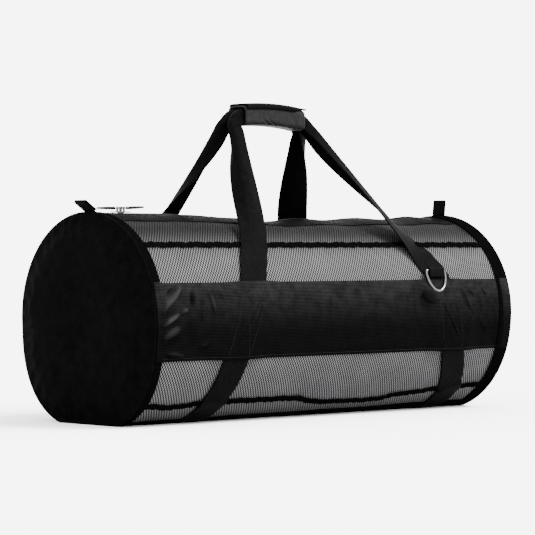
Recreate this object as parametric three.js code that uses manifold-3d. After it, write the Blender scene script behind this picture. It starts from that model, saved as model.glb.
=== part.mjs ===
// Mesh dive gear bag: a round duffel of coarse net with a cloth band along each side, a zip along its top,
// a flattened cloth belly, two webbing handles held together by a padded grip, and a chrome ring on each side.
// Millimetres, +Z up. X runs along the bag, the front faces -Y, and the belly rests on z = 0 at the origin.
import * as THREE from 'three'
import { mergeVertices } from 'three/addons/utils/BufferGeometryUtils.js'
import Module from 'manifold-3d'

const wasm = await Module()
wasm.setup()

// Driving dimensions of the bag
const BAG_LENGTH = 792
const BAG_HEIGHT = 330
const BAG_WIDTH = 330
const BELLY_DROP = 8
const END_DOME = 9

// Cloth, tape and webbing
const CLOTH = 1.2
const BAND_CLOTH = 1.4
const TAPE = 1.5
const WEBBING = 2
const GAP = 0.3
const WEBBING_GAP = 0.5
const WEBBING_WIDTH = 50
const SEAM_TAPE_WIDTH = 8
const SEAM_TAPE_GAP = 0.7
const BINDING_WIDTH = 16
const STRAND = 7

// Zip
const COIL_WIDTH = 6.8
const COIL_THICK = 2.8
const ZIP_TAPE_WIDTH = 9.3
const ZIP_TAPE_THICK = 1
const SLIDER_LENGTH = 17
const SLIDER_WIDTH = 11
const SLIDER_PLATE = 1.6
const SLIDER_NOSE_WIDTH = 3
const SLIDER_PLACES = { left: -338.8, right: -321.2 }
const BRIDGE_WIDTH = 4
const BRIDGE_LENGTH = 7
const BRIDGE_HEIGHT = 7.6
const BRIDGE_WALL = 1.3
const LINK_WIRE = 1.8
const LINK_LENGTH = 13
const LINK_WIDTH = 11
const GRIP_PULL_LENGTH = 32
const GRIP_PULL_WIDTH = 6.6
const GRIP_PULL_THICK = 4.4

// Handles and their grip
const HAND_GRIP_LENGTH = 132
const HAND_GRIP_WIDTH = 44
const HAND_GRIP_HEIGHT = 34
const HAND_GRIP_WALL = 2.7
const HAND_GRIP_CENTRE = { x: -18, z: 488 }
const HAND_GRIP_ARCH = 4
const HAND_GRIP_DROOP = 4
const GRIP_CORNER = 0.4
const FLAP_THICK = 2.2
const FLAP_GAP = 1
const FOLD_FLAT = 9
const FOLD_ANGLE = 85

// Rings, their webbing tabs and the end tabs
const RING_WIRE = 4.5
const RING_WIDTH = 48
const RING_HEIGHT = 40
const RING_TAB_WIDTH = 36
const RING_TAB_HEIGHT = 17
const RING_PLAY = 0.5
const END_TAB_WIDTH = 25
const END_TAB_LENGTH = 26
const END_TAB_SLOT = 1.6

// A net panel under this many degrees is flat from edge to edge
const NARROW_NET = 25

// Places of the long seams, as angles down from the zip, in degrees
const PLACKET_EDGE = 22
const UPPER_SEAM = 46
const BAND_TOP = 70
const BAND_BOTTOM = 112
const LOWER_SEAM = 142
const BELLY_EDGE = 154

// The lower seam sags between the straps. Share of the half length, and degrees added to its angle.
const LOWER_SEAM_WANDER = [
  { at: -1, sag: -1 }, { at: -0.82, sag: 1.5 }, { at: -0.66, sag: -1 }, { at: -0.2, sag: 0 },
  { at: 0.02, sag: 5 }, { at: 0.3, sag: 5 }, { at: 0.48, sag: 0 }, { at: 0.7, sag: -3 }, { at: 1, sag: -5 },
]
// The top sinks between the stiff ends. Share of the half length, and the dip as a share of the height.
const TOP_LINE = [
  { at: -1, dip: 0 }, { at: -0.63, dip: 0.001 }, { at: -0.5, dip: 0.006 }, { at: -0.24, dip: 0.019 },
  { at: -0.07, dip: 0.036 }, { at: 0.14, dip: 0.018 }, { at: 0.27, dip: 0.026 }, { at: 0.47, dip: 0.013 },
  { at: 0.63, dip: 0.02 }, { at: 0.79, dip: 0.003 }, { at: 0.88, dip: 0.01 }, { at: 1, dip: 0 },
]
// How square the lower half of the section is: 2 is round. Share of the half length, and the exponent.
const SECTION_SHAPE = [{ at: -1, power: 2.5 }, { at: 0, power: 2.3 }, { at: 1, power: 2.06 }]
// The straps splay as they go down. The station counts seams from the zip, and the places are shares
// of the half length.
const STRAP_ROUTE = [
  { station: 2, left: -0.41, right: 0.49 },
  { station: 3, left: -0.48, right: 0.58 },
  { station: 4, left: -0.578, right: 0.659 },
  { station: 5, left: -0.62, right: 0.745 },
  { station: 6, left: -0.632, right: 0.757 },
  { station: 7, left: -0.632, right: 0.757 },
]
// Slanted folds in the band beside each end, and the share of the bag's length that they die out over.
const FOLDS = { depth: 3, pitch: 38, lean: 0.5, reach: 0.05 }

const DEGREE = Math.PI / 180
const HALF = BAG_LENGTH / 2
const LAYER = CLOTH + GAP
const BODY_HALF_WIDTH = BAG_WIDTH / 2 - LAYER - TAPE
const BODY_HALF_HEIGHT = BAG_HEIGHT / 2 - LAYER - TAPE
const MIDDLE = BAG_HEIGHT / 2
const BODY_END = HALF - GAP
const STRAP_LAYER = CLOTH + WEBBING_GAP
const STRAP_HALF = WEBBING_WIDTH / 2
const RELIEF_HALF = STRAP_HALF + 2.5
const RELIEF_RAMP = 5
const COLOURS = {
  cloth: [0x111111, 0.85], band: [0x1c1c1c, 0.8], net: [0x202020, 0.8], webbing: [0x0d0d0d, 0.75],
  tape: [0x0a0a0a, 0.8], coil: [0x151515, 0.5], rubber: [0x0c0c0c, 0.6], metal: [0xc8c8cc, 0.25],
}

const bag = new THREE.Group()

// Linear blend of two numbers
function mix(a, b, t) {
  return a + (b - a) * t
}

// Smooth step from 0 to 1
function ease(t) {
  const u = Math.min(1, Math.max(0, t))
  return u * u * (3 - 2 * u)
}

// Reads one column of a table at a place, with a smooth step between the rows
function read(table, place, column, key = 'at') {
  let row = 0
  while (row < table.length - 2 && place > table[row + 1][key]) row++
  const [low, high] = [table[row], table[row + 1]]
  return mix(low[column], high[column], ease((place - low[key]) / (high[key] - low[key])))
}

// Reads one column of a table at a place, with straight lines between the rows
function readStraight(table, place, column, key) {
  let row = 0
  while (row < table.length - 2 && place > table[row + 1][key]) row++
  const [low, high] = [table[row], table[row + 1]]
  const share = Math.min(1, Math.max(0, (place - low[key]) / (high[key] - low[key])))
  return mix(low[column], high[column], share)
}

// Angle of a station, which counts seams from the zip down: 0 is the zip, 3 the band's top, 7 the belly's middle
function stationAngle(x, station) {
  const lower = LOWER_SEAM + read(LOWER_SEAM_WANDER, x / HALF, 'sag')
  const seams = [0, PLACKET_EDGE, UPPER_SEAM, BAND_TOP, BAND_BOTTOM, lower, BELLY_EDGE, 180]
  const row = Math.min(6, Math.floor(station))
  return mix(seams[row], seams[row + 1], station - row)
}

// Middle of a strap at a station
function strapX(side, station) {
  return HALF * readStraight(STRAP_ROUTE, station, side, 'station')
}

// Distance of x inside or outside the nearer belly strap's edge, negative under the strap
function besideStrap(x) {
  const gaps = ['left', 'right'].map((side) => Math.abs(x - strapX(side, 7)) - RELIEF_HALF)
  return Math.min(...gaps)
}

// Height of the body's inner face over the floor along the belly. It is lifted by whatever lies under it.
function bellyHeight(x) {
  const overStrap = (STRAP_LAYER + WEBBING - CLOTH) * (1 - ease(besideStrap(x) / RELIEF_RAMP))
  const overBinding = (GAP + TAPE) * ease((Math.abs(x) - HALF + BINDING_WIDTH + RELIEF_RAMP) / RELIEF_RAMP)
  return CLOTH + Math.max(overStrap, overBinding)
}

// Distance from the body's middle line to its inner face. The upper half is round, and the lower half is
// squarer and drops below the floor, where the belly is then pressed flat.
function bodyPoint(x, angle) {
  const s = Math.sin(angle * DEGREE)
  const c = Math.cos(angle * DEGREE)
  const lower = ease(-c * 3)
  const power = mix(2, read(SECTION_SHAPE, x / HALF, 'power'), lower)
  const tall = BODY_HALF_HEIGHT + (c < 0 ? BELLY_DROP : 0)
  const radius = (Math.abs(s / BODY_HALF_WIDTH) ** power + Math.abs(c / tall) ** power) ** (-1 / power)
  const fromTop = Math.min(angle, 360 - angle)
  const crown = Math.cos(Math.min(1, fromTop / (UPPER_SEAM + 6)) * Math.PI / 2) ** 2
  const dip = BAG_HEIGHT * read(TOP_LINE, x / HALF, 'dip') * crown
  const fromEnd = HALF - Math.abs(x)
  const reach = BAG_LENGTH * FOLDS.reach
  const inBand = Math.sin(Math.PI * Math.min(1, Math.max(0, (fromTop - BAND_TOP) / (BAND_BOTTOM - BAND_TOP))))
  const away = Math.max(0, fromEnd - BINDING_WIDTH) / reach
  const swell = (away * Math.exp(1 - away)) ** 2
  const wave = Math.sin(2 * Math.PI * (fromEnd - FOLDS.lean * (fromTop - 90)) / FOLDS.pitch)
  const fold = FOLDS.depth * inBand * swell * wave
  return new THREE.Vector2(-(radius + fold) * s, (radius + fold) * c - dip)
}

// Point on the bag at x, an angle down from the zip (past 180 it is on the rear), and a height over the inner face
function skin(x, angle, height) {
  const step = 0.5
  const along = bodyPoint(x, angle + step).sub(bodyPoint(x, angle - step)).normalize()
  const base = bodyPoint(x, angle)
  const y = base.x + height * along.y
  const z = MIDDLE + base.y - height * along.x
  return new THREE.Vector3(x, y, Math.max(z, bellyHeight(x) - height))
}

// The same point by its station and side, where side 1 is the front and -1 the rear
function panelPoint(x, station, height, side, trim = 0) {
  const angle = stationAngle(x, station) + trim / BODY_HALF_WIDTH / DEGREE
  return skin(x, side > 0 ? angle : 360 - angle, height)
}

// Point on a strap, an offset across from its middle. The strap is straight across, as the cloth under it is.
function strapPoint(side, station, offset, height, face, trim = 0) {
  const x = strapX(side, station)
  const left = panelPoint(x - RELIEF_HALF, station, height, face, trim)
  const right = panelPoint(x + RELIEF_HALF, station, height, face, trim)
  return left.lerp(right, (offset + RELIEF_HALF) / (2 * RELIEF_HALF))
}

// A wall between an outer and an inner grid of points, with open cells cut through. With closed, the columns
// go round and meet. The faces are turned outward by the sign of the volume.
function wall(outer, inner, { open = () => false, closed = false } = {}) {
  const rows = outer.length - 1
  const columns = outer[0].length - (closed ? 0 : 1)
  const points = []
  const solid = (r, c) => r >= 0 && r < rows && (closed || (c >= 0 && c < columns)) &&
    !open(r, (c + columns) % columns)
  const at = (grid, r, c) => grid[r][closed ? (c + columns) % columns : c]
  const quad = (a, b, c, d) => points.push(a, b, c, a, c, d)
  for (let r = 0; r < rows; r++) {
    for (let c = 0; c < columns; c++) {
      if (!solid(r, c)) continue
      const corners = [[r, c], [r, c + 1], [r + 1, c + 1], [r + 1, c]]
      quad(...corners.map(([i, j]) => at(outer, i, j)))
      quad(...[0, 3, 2, 1].map((k) => at(inner, ...corners[k])))
      const beside = [[r - 1, c], [r, c + 1], [r + 1, c], [r, c - 1]]
      beside.forEach(([i, j], k) => {
        if (solid(i, j)) return
        const [p, q] = [corners[k], corners[(k + 1) % 4]]
        quad(at(outer, ...q), at(outer, ...p), at(inner, ...p), at(inner, ...q))
      })
    }
  }
  return soup(points)
}

// Geometry of a list of triangle corners, with its faces pointing out
function soup(points) {
  let volume = 0
  for (let i = 0; i < points.length; i += 3) {
    volume += points[i].dot(new THREE.Vector3().crossVectors(points[i + 1], points[i + 2]))
  }
  const list = volume < 0 ? points.slice().reverse() : points
  return new THREE.BufferGeometry().setFromPoints(list)
}

// Joins closed geometries into one solid
function union(...parts) {
  const solids = parts.map((part) => {
    const clean = part.index ? part.toNonIndexed() : part.clone()
    clean.deleteAttribute('normal')
    clean.deleteAttribute('uv')
    const merged = mergeVertices(clean, 1e-4)
    const mesh = { numProp: 3, vertProperties: merged.attributes.position.array, triVerts: merged.index.array }
    return new wasm.Manifold(new wasm.Mesh(mesh))
  })
  const { vertProperties, triVerts } = solids.reduce((a, b) => a.add(b)).getMesh()
  const joined = new THREE.BufferGeometry()
  joined.setAttribute('position', new THREE.BufferAttribute(vertProperties, 3))
  joined.setIndex(new THREE.BufferAttribute(triVerts, 1))
  return joined
}

// Adds a named piece to the bag
function add(name, geometry, finish) {
  const [color, roughness] = COLOURS[finish]
  const metalness = finish === 'metal' ? 1 : 0
  geometry.computeVertexNormals()
  const mesh = new THREE.Mesh(geometry, new THREE.MeshStandardMaterial({ color, roughness, metalness }))
  mesh.name = name
  bag.add(mesh)
  return mesh
}

const SIDES = { front: 1, rear: -1 }
const ENDS = { left: -1, right: 1 }

// Places that leave equal gaps between strands. The strands at the ends have widths of their own.
function gapPlaces(from, to, gaps, firstStrand, lastStrand) {
  const clear = (to - from - firstStrand - lastStrand - (gaps - 1) * STRAND) / gaps
  const places = [from]
  let place = from + firstStrand
  for (let i = 0; i < gaps; i++) {
    places.push(place, place + clear)
    place += clear + STRAND
  }
  places.push(to)
  return places
}

// Gaps across each bay of net between the ends and the straps, over the band and under it. The straps splay, so
// the middle bay is wider under the band, and no gap is as wide as a tenth of the bag.
const BAYS = { over: [3, 5, 2], under: [2, 6, 2] }

function bays(station) {
  return station < 3.5 ? BAYS.over : BAYS.under
}

// Columns shared by every long panel: they follow the straps, so that neighbours meet along the same points
function columns(station) {
  const above = Math.max(2, station)
  const [left, right] = [strapX('left', above), strapX('right', above)]
  const end = BINDING_WIDTH - GAP
  const [first, middle, last] = bays(station)
  return [
    ...gapPlaces(-BODY_END, left - RELIEF_HALF, first, end, STRAND),
    ...gapPlaces(left + RELIEF_HALF, right - RELIEF_HALF, middle, STRAND, STRAND),
    ...gapPlaces(right + RELIEF_HALF, BODY_END, last, STRAND, end),
  ]
}

// Column numbers that are gaps in a net
function gapColumns(station) {
  const found = new Set()
  let column = 0
  for (const gaps of bays(station)) {
    for (let i = 0; i < gaps; i++) found.add(column + 1 + 2 * i)
    column += 2 * gaps + 2
  }
  return found
}

// Grid of points of a long panel between two stations. Each edge is held back by half a gap.
function panelGrid(stations, side, height, trims = [GAP / 2, -GAP / 2]) {
  return stations.map((station, i) => {
    const trim = i === 0 ? trims[0] : i === stations.length - 1 ? trims[1] : 0
    return columns(station).map((x) => panelPoint(x, station, height, side, trim))
  })
}

// Stations of a net panel: its two edges, the strands along them, and the middle of the gaps in a wide one
function netStations(first) {
  const degrees = stationAngle(0, first + 1) - stationAngle(0, first)
  const share = STRAND / (BODY_HALF_WIDTH * DEGREE * degrees)
  const middle = degrees > NARROW_NET ? [first + 0.5] : []
  return [first, first + share, ...middle, first + 1 - share, first + 1]
}

// Net panel: a wall with one row of gaps, framed by strands
function netPanel(first, side) {
  const stations = netStations(first)
  const gaps = gapColumns(first)
  const open = (row, column) => row > 0 && row < stations.length - 2 && gaps.has(column)
  return wall(panelGrid(stations, side, CLOTH), panelGrid(stations, side, 0), { open })
}

// Narrow tape over a long seam
function seamTape(station, side) {
  const half = SEAM_TAPE_WIDTH / 2
  const grid = (height) => [-half, half].map((trim) =>
    columns(station).map((x) => panelPoint(x, station, height, side, trim)))
  const reach = HALF - BINDING_WIDTH - GAP
  const cut = (points) => points.map((row) => {
    const kept = row.filter((point) => Math.abs(point.x) < reach - STRAND)
    const ends = [-reach, reach].map((x) => {
      const near = row.reduce((a, b) => (Math.abs(b.x - x) < Math.abs(a.x - x) ? b : a))
      return near.clone().setX(x)
    })
    return [ends[0], ...kept, ends[1]]
  })
  return wall(cut(grid(CLOTH + SEAM_TAPE_GAP + TAPE)), cut(grid(CLOTH + SEAM_TAPE_GAP)))
}

// Band: a wall that rises over the strap, which runs under it
function band(side) {
  const shares = [0, 0.25, 0.5, 0.75, 1]
  const spread = (from, to, count) => Array.from({ length: count }, (_, i) => mix(from, to, i / count))
  const places = (station) => {
    const [left, right] = [strapX('left', station), strapX('right', station)]
    const outer = RELIEF_HALF + RELIEF_RAMP
    const inside = HALF - BINDING_WIDTH
    return [
      [-BODY_END, 0],
      ...spread(-inside, left - outer, 6).map((x) => [x, 0]),
      [left - outer, 0], [left - RELIEF_HALF, 1], [left + RELIEF_HALF, 1],
      ...spread(left + outer, right - outer, 4).map((x) => [x, 0]),
      [right - outer, 0], [right - RELIEF_HALF, 1], [right + RELIEF_HALF, 1],
      ...spread(right + outer, inside, 5).map((x) => [x, 0]),
      [inside, 0], [BODY_END, 0],
    ]
  }
  const lift = STRAP_LAYER + WEBBING + 2 * GAP
  const grid = (height) => shares.map((share) => {
    const trim = share === 0 ? GAP / 2 : share === 1 ? -GAP / 2 : 0
    return places(3 + share).map(([x, raised]) => panelPoint(x, 3 + share, height + raised * lift, side, trim))
  })
  return wall(grid(BAND_CLOTH), grid(0))
}

// Angles of the belly's rows between its edge and its middle
const BELLY_ANGLES = [159, 164]

// Belly: one wall from the front's low edge round to the rear's
function bottomPanel() {
  const [left, right] = [strapX('left', 7), strapX('right', 7)]
  const ramp = RELIEF_HALF + RELIEF_RAMP
  const inside = HALF - BINDING_WIDTH
  const places = [
    -BODY_END, -inside, -inside + RELIEF_RAMP, left - ramp, left - RELIEF_HALF, left + RELIEF_HALF, left + ramp,
    mix(left + ramp, right - ramp, 1 / 3), mix(left + ramp, right - ramp, 2 / 3),
    right - ramp, right - RELIEF_HALF, right + RELIEF_HALF, right + ramp, inside - RELIEF_RAMP, inside, BODY_END,
  ]
  const edge = GAP / 2 / BODY_HALF_WIDTH / DEGREE
  const rear = BELLY_ANGLES.map((angle) => 360 - angle).reverse()
  const angles = [BELLY_EDGE + edge, ...BELLY_ANGLES, 180, ...rear, 360 - BELLY_EDGE - edge]
  const grid = (height) => angles.map((angle) => places.map((x) => skin(x, angle, height)))
  return wall(grid(CLOTH), grid(0))
}

// Angles round an end, which match the rows of the panels that it covers
function roundAngles(end) {
  const stations = [1, ...[1, 2, 4, 5].flatMap((first) => netStations(first).slice(1, -1)), 3, 3.25, 3.5, 3.75, 4, 5, 6]
  const front = stations.map((station) => stationAngle(end * HALF, station))
  const cloth = [arcAngle(PLACKET_START), placketMiddle(), ...BELLY_ANGLES]
  const half = [...front, ...cloth].sort((a, b) => a - b)
  return [0, ...half, 180, ...half.map((angle) => 360 - angle).reverse()]
}

// Wide tape round an end
function endBinding(end) {
  const places = [HALF, HALF - BINDING_WIDTH]
  const round = roundAngles(end)
  const grid = (height) => places.map((x) => round.map((angle) => skin(end * x, angle, height)))
  return wall(grid(LAYER + TAPE), grid(LAYER), { closed: true })
}

// Round end: a domed wall, seated against the binding's edge
const DOME_RINGS = [{ radius: 1, rise: 0 }, { radius: 0.78, rise: 0.7 }]

function endPanel(end) {
  const round = roundAngles(end)
  const ring = (share, x) => round.map((angle) => {
    const rim = skin(end * HALF, angle, LAYER + TAPE)
    return new THREE.Vector3(end * x, rim.y * share, mix(MIDDLE, rim.z, share))
  })
  const face = (thick) => DOME_RINGS.map(({ radius, rise }) => ring(radius, HALF + GAP + thick + END_DOME * rise))
  const [outer, inner] = [face(CLOTH), face(0)]
  const tip = (thick) => new THREE.Vector3(end * (HALF + GAP + thick + END_DOME), 0, MIDDLE)
  const points = []
  const count = round.length
  const last = outer.length - 1
  for (let i = 0; i < count; i++) {
    const j = (i + 1) % count
    for (let r = 0; r < last; r++) {
      points.push(outer[r][i], outer[r][j], outer[r + 1][j], outer[r][i], outer[r + 1][j], outer[r + 1][i])
      points.push(inner[r][j], inner[r][i], inner[r + 1][i], inner[r][j], inner[r + 1][i], inner[r + 1][j])
    }
    points.push(outer[last][i], outer[last][j], tip(CLOTH), inner[last][j], inner[last][i], tip(0))
    points.push(outer[0][j], outer[0][i], inner[0][i], outer[0][j], inner[0][i], inner[0][j])
  }
  return soup(points)
}

// Cloth strip beside the zip, and the zip's own tape and coil
const COIL_EDGE = COIL_WIDTH / 2
const ZIP_TAPE_START = COIL_EDGE + GAP
const PLACKET_START = ZIP_TAPE_START + ZIP_TAPE_WIDTH + GAP

function topStrip(from, to, low, high, side, reach = BODY_END) {
  const angles = [from, to]
  const places = columns(0).map((x) => x * reach / BODY_END)
  const grid = (height) => angles.map((angle) => places.map((x) =>
    skin(x, side > 0 ? angle : 360 - angle, height)))
  return wall(grid(high), grid(low))
}

function arcAngle(distance) {
  return distance / BODY_HALF_WIDTH / DEGREE
}

function placketMiddle() {
  return (arcAngle(PLACKET_START) + PLACKET_EDGE) / 2
}

function placket(side) {
  const angles = [arcAngle(PLACKET_START), placketMiddle(), PLACKET_EDGE - arcAngle(GAP / 2)]
  const grid = (height) => angles.map((angle) => columns(0).map((x) =>
    skin(x, side > 0 ? angle : 360 - angle, height)))
  return wall(grid(CLOTH), grid(0))
}

function zipTape(side) {
  const end = ZIP_TAPE_START + ZIP_TAPE_WIDTH
  return topStrip(arcAngle(ZIP_TAPE_START), arcAngle(end), 0, ZIP_TAPE_THICK, side)
}

// The coil stops inside each slider, because the sliders stand nose to nose with the zip open between them
const COIL_LOW = ZIP_TAPE_THICK / 2 - COIL_THICK / 2

function zipCoil(end) {
  const slider = SLIDER_PLACES[end]
  const far = ENDS[end] * (HALF - BINDING_WIDTH)
  const count = end === 'left' ? 1 : 8
  const places = Array.from({ length: count + 1 }, (_, i) => mix(slider, far, i / count))
  const angles = [arcAngle(-COIL_EDGE), arcAngle(COIL_EDGE)]
  const grid = (height) => angles.map((angle) => places.map((x) => skin(x, angle, height)))
  return wall(grid(COIL_LOW + COIL_THICK), grid(COIL_LOW))
}

// Slider: two plates joined by a wedge at the nose, with a bridge that holds the pull's link
const PLATE_GAP = COIL_THICK + 2 * GAP
const ZIP_TOP = MIDDLE + BODY_HALF_HEIGHT
const PLATE_TOP = COIL_LOW + COIL_THICK + GAP + SLIDER_PLATE
const PIVOT_HEIGHT = PLATE_TOP + BRIDGE_HEIGHT - BRIDGE_WALL - LINK_WIRE / 2 - GAP

function block(length, width, height, x, y, z) {
  return new THREE.BoxGeometry(length, width, height).translate(x, y, z)
}

function slider(end) {
  const out = ENDS[end]
  const nose = -out * (SLIDER_LENGTH - BRIDGE_LENGTH) / 2
  const low = PLATE_TOP - SLIDER_PLATE / 2
  const under = low - PLATE_GAP - SLIDER_PLATE
  const half = SLIDER_LENGTH / 2
  const outline = new THREE.Shape()
  outline.moveTo(half, -SLIDER_WIDTH / 2.6)
  outline.lineTo(half, SLIDER_WIDTH / 2.6)
  outline.lineTo(-half / 3, SLIDER_WIDTH / 2)
  outline.lineTo(-half, SLIDER_WIDTH / 3)
  outline.lineTo(-half, -SLIDER_WIDTH / 3)
  outline.lineTo(-half / 3, -SLIDER_WIDTH / 2)
  const plate = (z) => {
    const made = new THREE.ExtrudeGeometry(outline, { depth: SLIDER_PLATE, bevelEnabled: false })
    if (out < 0) made.rotateZ(Math.PI)
    return made.translate(0, 0, z - SLIDER_PLATE / 2)
  }
  const wedge = block(SLIDER_LENGTH / 3, SLIDER_NOSE_WIDTH, PLATE_GAP + SLIDER_PLATE,
    -out * SLIDER_LENGTH / 3, 0, (low + under) / 2)
  const bridgeTop = PLATE_TOP + BRIDGE_HEIGHT
  const beam = block(BRIDGE_LENGTH, BRIDGE_WIDTH, BRIDGE_WALL, nose, 0, bridgeTop - BRIDGE_WALL / 2)
  const post = (side) => block(BRIDGE_WALL, BRIDGE_WIDTH, BRIDGE_HEIGHT + SLIDER_PLATE / 2,
    nose + side * (BRIDGE_LENGTH - BRIDGE_WALL) / 2, 0, PLATE_TOP + BRIDGE_HEIGHT / 2 - SLIDER_PLATE / 4)
  return union(plate(low), plate(under), wedge, beam, post(-1), post(1))
}

// Link: a rectangular wire loop. One bar passes through the bridge, the other through the moulded pull.
function linkLoop(out) {
  const long = LINK_LENGTH - LINK_WIRE
  const wide = (LINK_WIDTH - LINK_WIRE) / 2
  const corner = LINK_WIRE
  const shape = new THREE.CurvePath()
  const corners = [[0, -wide], [long, -wide], [long, wide], [0, wide]]
  const points = []
  corners.forEach(([x, y], i) => {
    const [px, py] = corners[(i + 3) % 4]
    const [nx, ny] = corners[(i + 1) % 4]
    const back = new THREE.Vector3(px - x, py - y, 0).setLength(corner)
    const ahead = new THREE.Vector3(nx - x, ny - y, 0).setLength(corner)
    const here = new THREE.Vector3(x, y, 0)
    points.push(here.clone().add(back), here.clone().add(back).lerp(here, 0.6).lerp(here.clone().add(ahead), 0.25),
      here.clone().add(ahead))
  })
  points.forEach((point, i) => shape.add(new THREE.LineCurve3(point, points[(i + 1) % points.length])))
  const made = tubeThrough(points, LINK_WIRE / 2, 6)
  return out < 0 ? made.rotateZ(Math.PI) : made
}

// Closed wire through given points: at each point a ring of the section stands across the bisected direction
function tubeThrough(points, radius, sides) {
  const count = points.length
  const middle = points.reduce((sum, point) => sum.add(point), new THREE.Vector3()).divideScalar(count)
  const normal = new THREE.Vector3().crossVectors(
    points[0].clone().sub(middle), points[Math.floor(count / 4)].clone().sub(middle)).normalize()
  const rings = points.map((point, i) => {
    const before = point.clone().sub(points[(i + count - 1) % count]).normalize()
    const after = points[(i + 1) % count].clone().sub(point).normalize()
    const along = before.clone().add(after).normalize()
    const across = new THREE.Vector3().crossVectors(normal, along)
    const stretch = radius / Math.max(0.6, before.dot(along))
    return Array.from({ length: sides }, (_, k) => {
      const turn = 2 * Math.PI * (k + 0.5) / sides
      return point.clone().addScaledVector(across, stretch * Math.cos(turn))
        .addScaledVector(normal, radius * Math.sin(turn))
    })
  })
  const list = []
  rings.forEach((ring, i) => {
    const next = rings[(i + 1) % count]
    ring.forEach((a, k) => {
      const m = (k + 1) % sides
      list.push(a, ring[m], next[m], a, next[m], next[k])
    })
  })
  return soup(list)
}

// Moulded pull: a tapering side profile with an eye for the link's bar
function pullGrip(out) {
  const eye = LINK_WIRE / 2 + RING_PLAY
  const head = eye + 1
  const bar = LINK_LENGTH - LINK_WIRE
  const tail = GRIP_PULL_THICK / 2
  const shape = new THREE.Shape()
  const arc = (x, radius, from, to, steps) => Array.from({ length: steps + 1 }, (_, i) => {
    const turn = mix(from, to, i / steps) * DEGREE
    return new THREE.Vector2(x + radius * Math.cos(turn), radius * Math.sin(turn))
  })
  shape.setFromPoints([
    ...arc(bar, head, 70, 290, 6),
    new THREE.Vector2(bar + GRIP_PULL_LENGTH * 0.35, -tail),
    new THREE.Vector2(bar + GRIP_PULL_LENGTH * 0.9, -tail * 0.7),
    new THREE.Vector2(bar + GRIP_PULL_LENGTH, 0),
    new THREE.Vector2(bar + GRIP_PULL_LENGTH * 0.9, tail * 0.7),
    new THREE.Vector2(bar + GRIP_PULL_LENGTH * 0.35, tail),
  ])
  shape.holes.push(new THREE.Path(arc(bar, eye, 360, 0, 8).slice(0, 8)))
  const made = new THREE.ExtrudeGeometry(shape, { depth: GRIP_PULL_WIDTH, bevelEnabled: false })
  made.rotateX(Math.PI / 2).translate(0, GRIP_PULL_WIDTH / 2, 0)
  if (out < 0) made.rotateZ(Math.PI)
  return made
}

// Handle: a strap under the band, over the net and straight up to the grip, where it folds in on itself
const GRIP_HALF = HAND_GRIP_LENGTH / 2
const STRAP_PITCH = FOLD_FLAT / 2 + (STRAP_HALF - FOLD_FLAT / 2) * Math.cos(FOLD_ANGLE * DEGREE) + WEBBING + GAP
const FOLD_DEPTH = (STRAP_HALF - FOLD_FLAT / 2) * Math.sin(FOLD_ANGLE * DEGREE)

// Middle line of the grip: a shallow arch that droops to the right
function gripHeight(x) {
  const share = (x - HAND_GRIP_CENTRE.x) / GRIP_HALF
  return HAND_GRIP_CENTRE.z + HAND_GRIP_ARCH * (0.5 - share * share) - HAND_GRIP_DROOP * share / 2
}

function gripStrapPoint(x) {
  return new THREE.Vector3(x, -STRAP_PITCH, gripHeight(x) + FOLD_DEPTH / 2)
}

// Stations of one leg: under the band, over the net as far as it leaves the bag, and free up to the grip's end.
// The free part turns as fast as the clear space over the round bag lets its edge turn, until its width runs
// front to rear, and it folds in half lengthwise.
const LEG_STATIONS = [3.5, 3.25, 3, 2.8]
const LEG_LEAVES = 2.6
const FREE_SHARES = [0.08, 0.16, 0.24, 0.31, 0.345, 0.38, 0.65, 1]
const CLEAR_OF_TAPE = 4.2
const SHOULDER = { out: 25, down: 19, forward: 3 }

function legStations(side) {
  const end = ENDS[side]
  const stations = [...LEG_STATIONS, LEG_LEAVES].map((station) => ({ side, station, hand: -end }))
  const foot = strapPoint(side, LEG_LEAVES, 0, STRAP_LAYER + WEBBING / 2, 1)
  const gripEnd = HAND_GRIP_CENTRE.x + end * (GRIP_HALF + WEBBING)
  const top = gripStrapPoint(gripEnd)
  const shoulder = new THREE.Vector3(gripEnd + end * SHOULDER.out, top.y - SHOULDER.forward, top.z - SHOULDER.down)
  for (const share of FREE_SHARES) {
    const clear = (foot.distanceTo(shoulder) * share) ** 2 / BAG_HEIGHT - CLEAR_OF_TAPE
    const turn = Math.asin(Math.min(1, Math.max(0, clear / STRAP_HALF)))
    const across = new THREE.Vector3(-end * Math.cos(turn), -Math.sin(turn), 0)
    stations.push({
      centre: foot.clone().lerp(shoulder, share), across, half: STRAP_HALF, fold: FOLD_ANGLE * ease(share),
    })
  }
  return stations
}

function handleStations() {
  const left = legStations('left')
  const right = legStations('right').reverse()
  const inGrip = [-1.06, -0.9, -0.4, 0.4, 0.9, 1.06].map((share) => {
    const x = HAND_GRIP_CENTRE.x + share * GRIP_HALF
    return { centre: gripStrapPoint(x), across: new THREE.Vector3(0, -1, 0), half: STRAP_HALF, fold: FOLD_ANGLE }
  })
  return [...left, ...inGrip, ...right]
}

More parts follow.
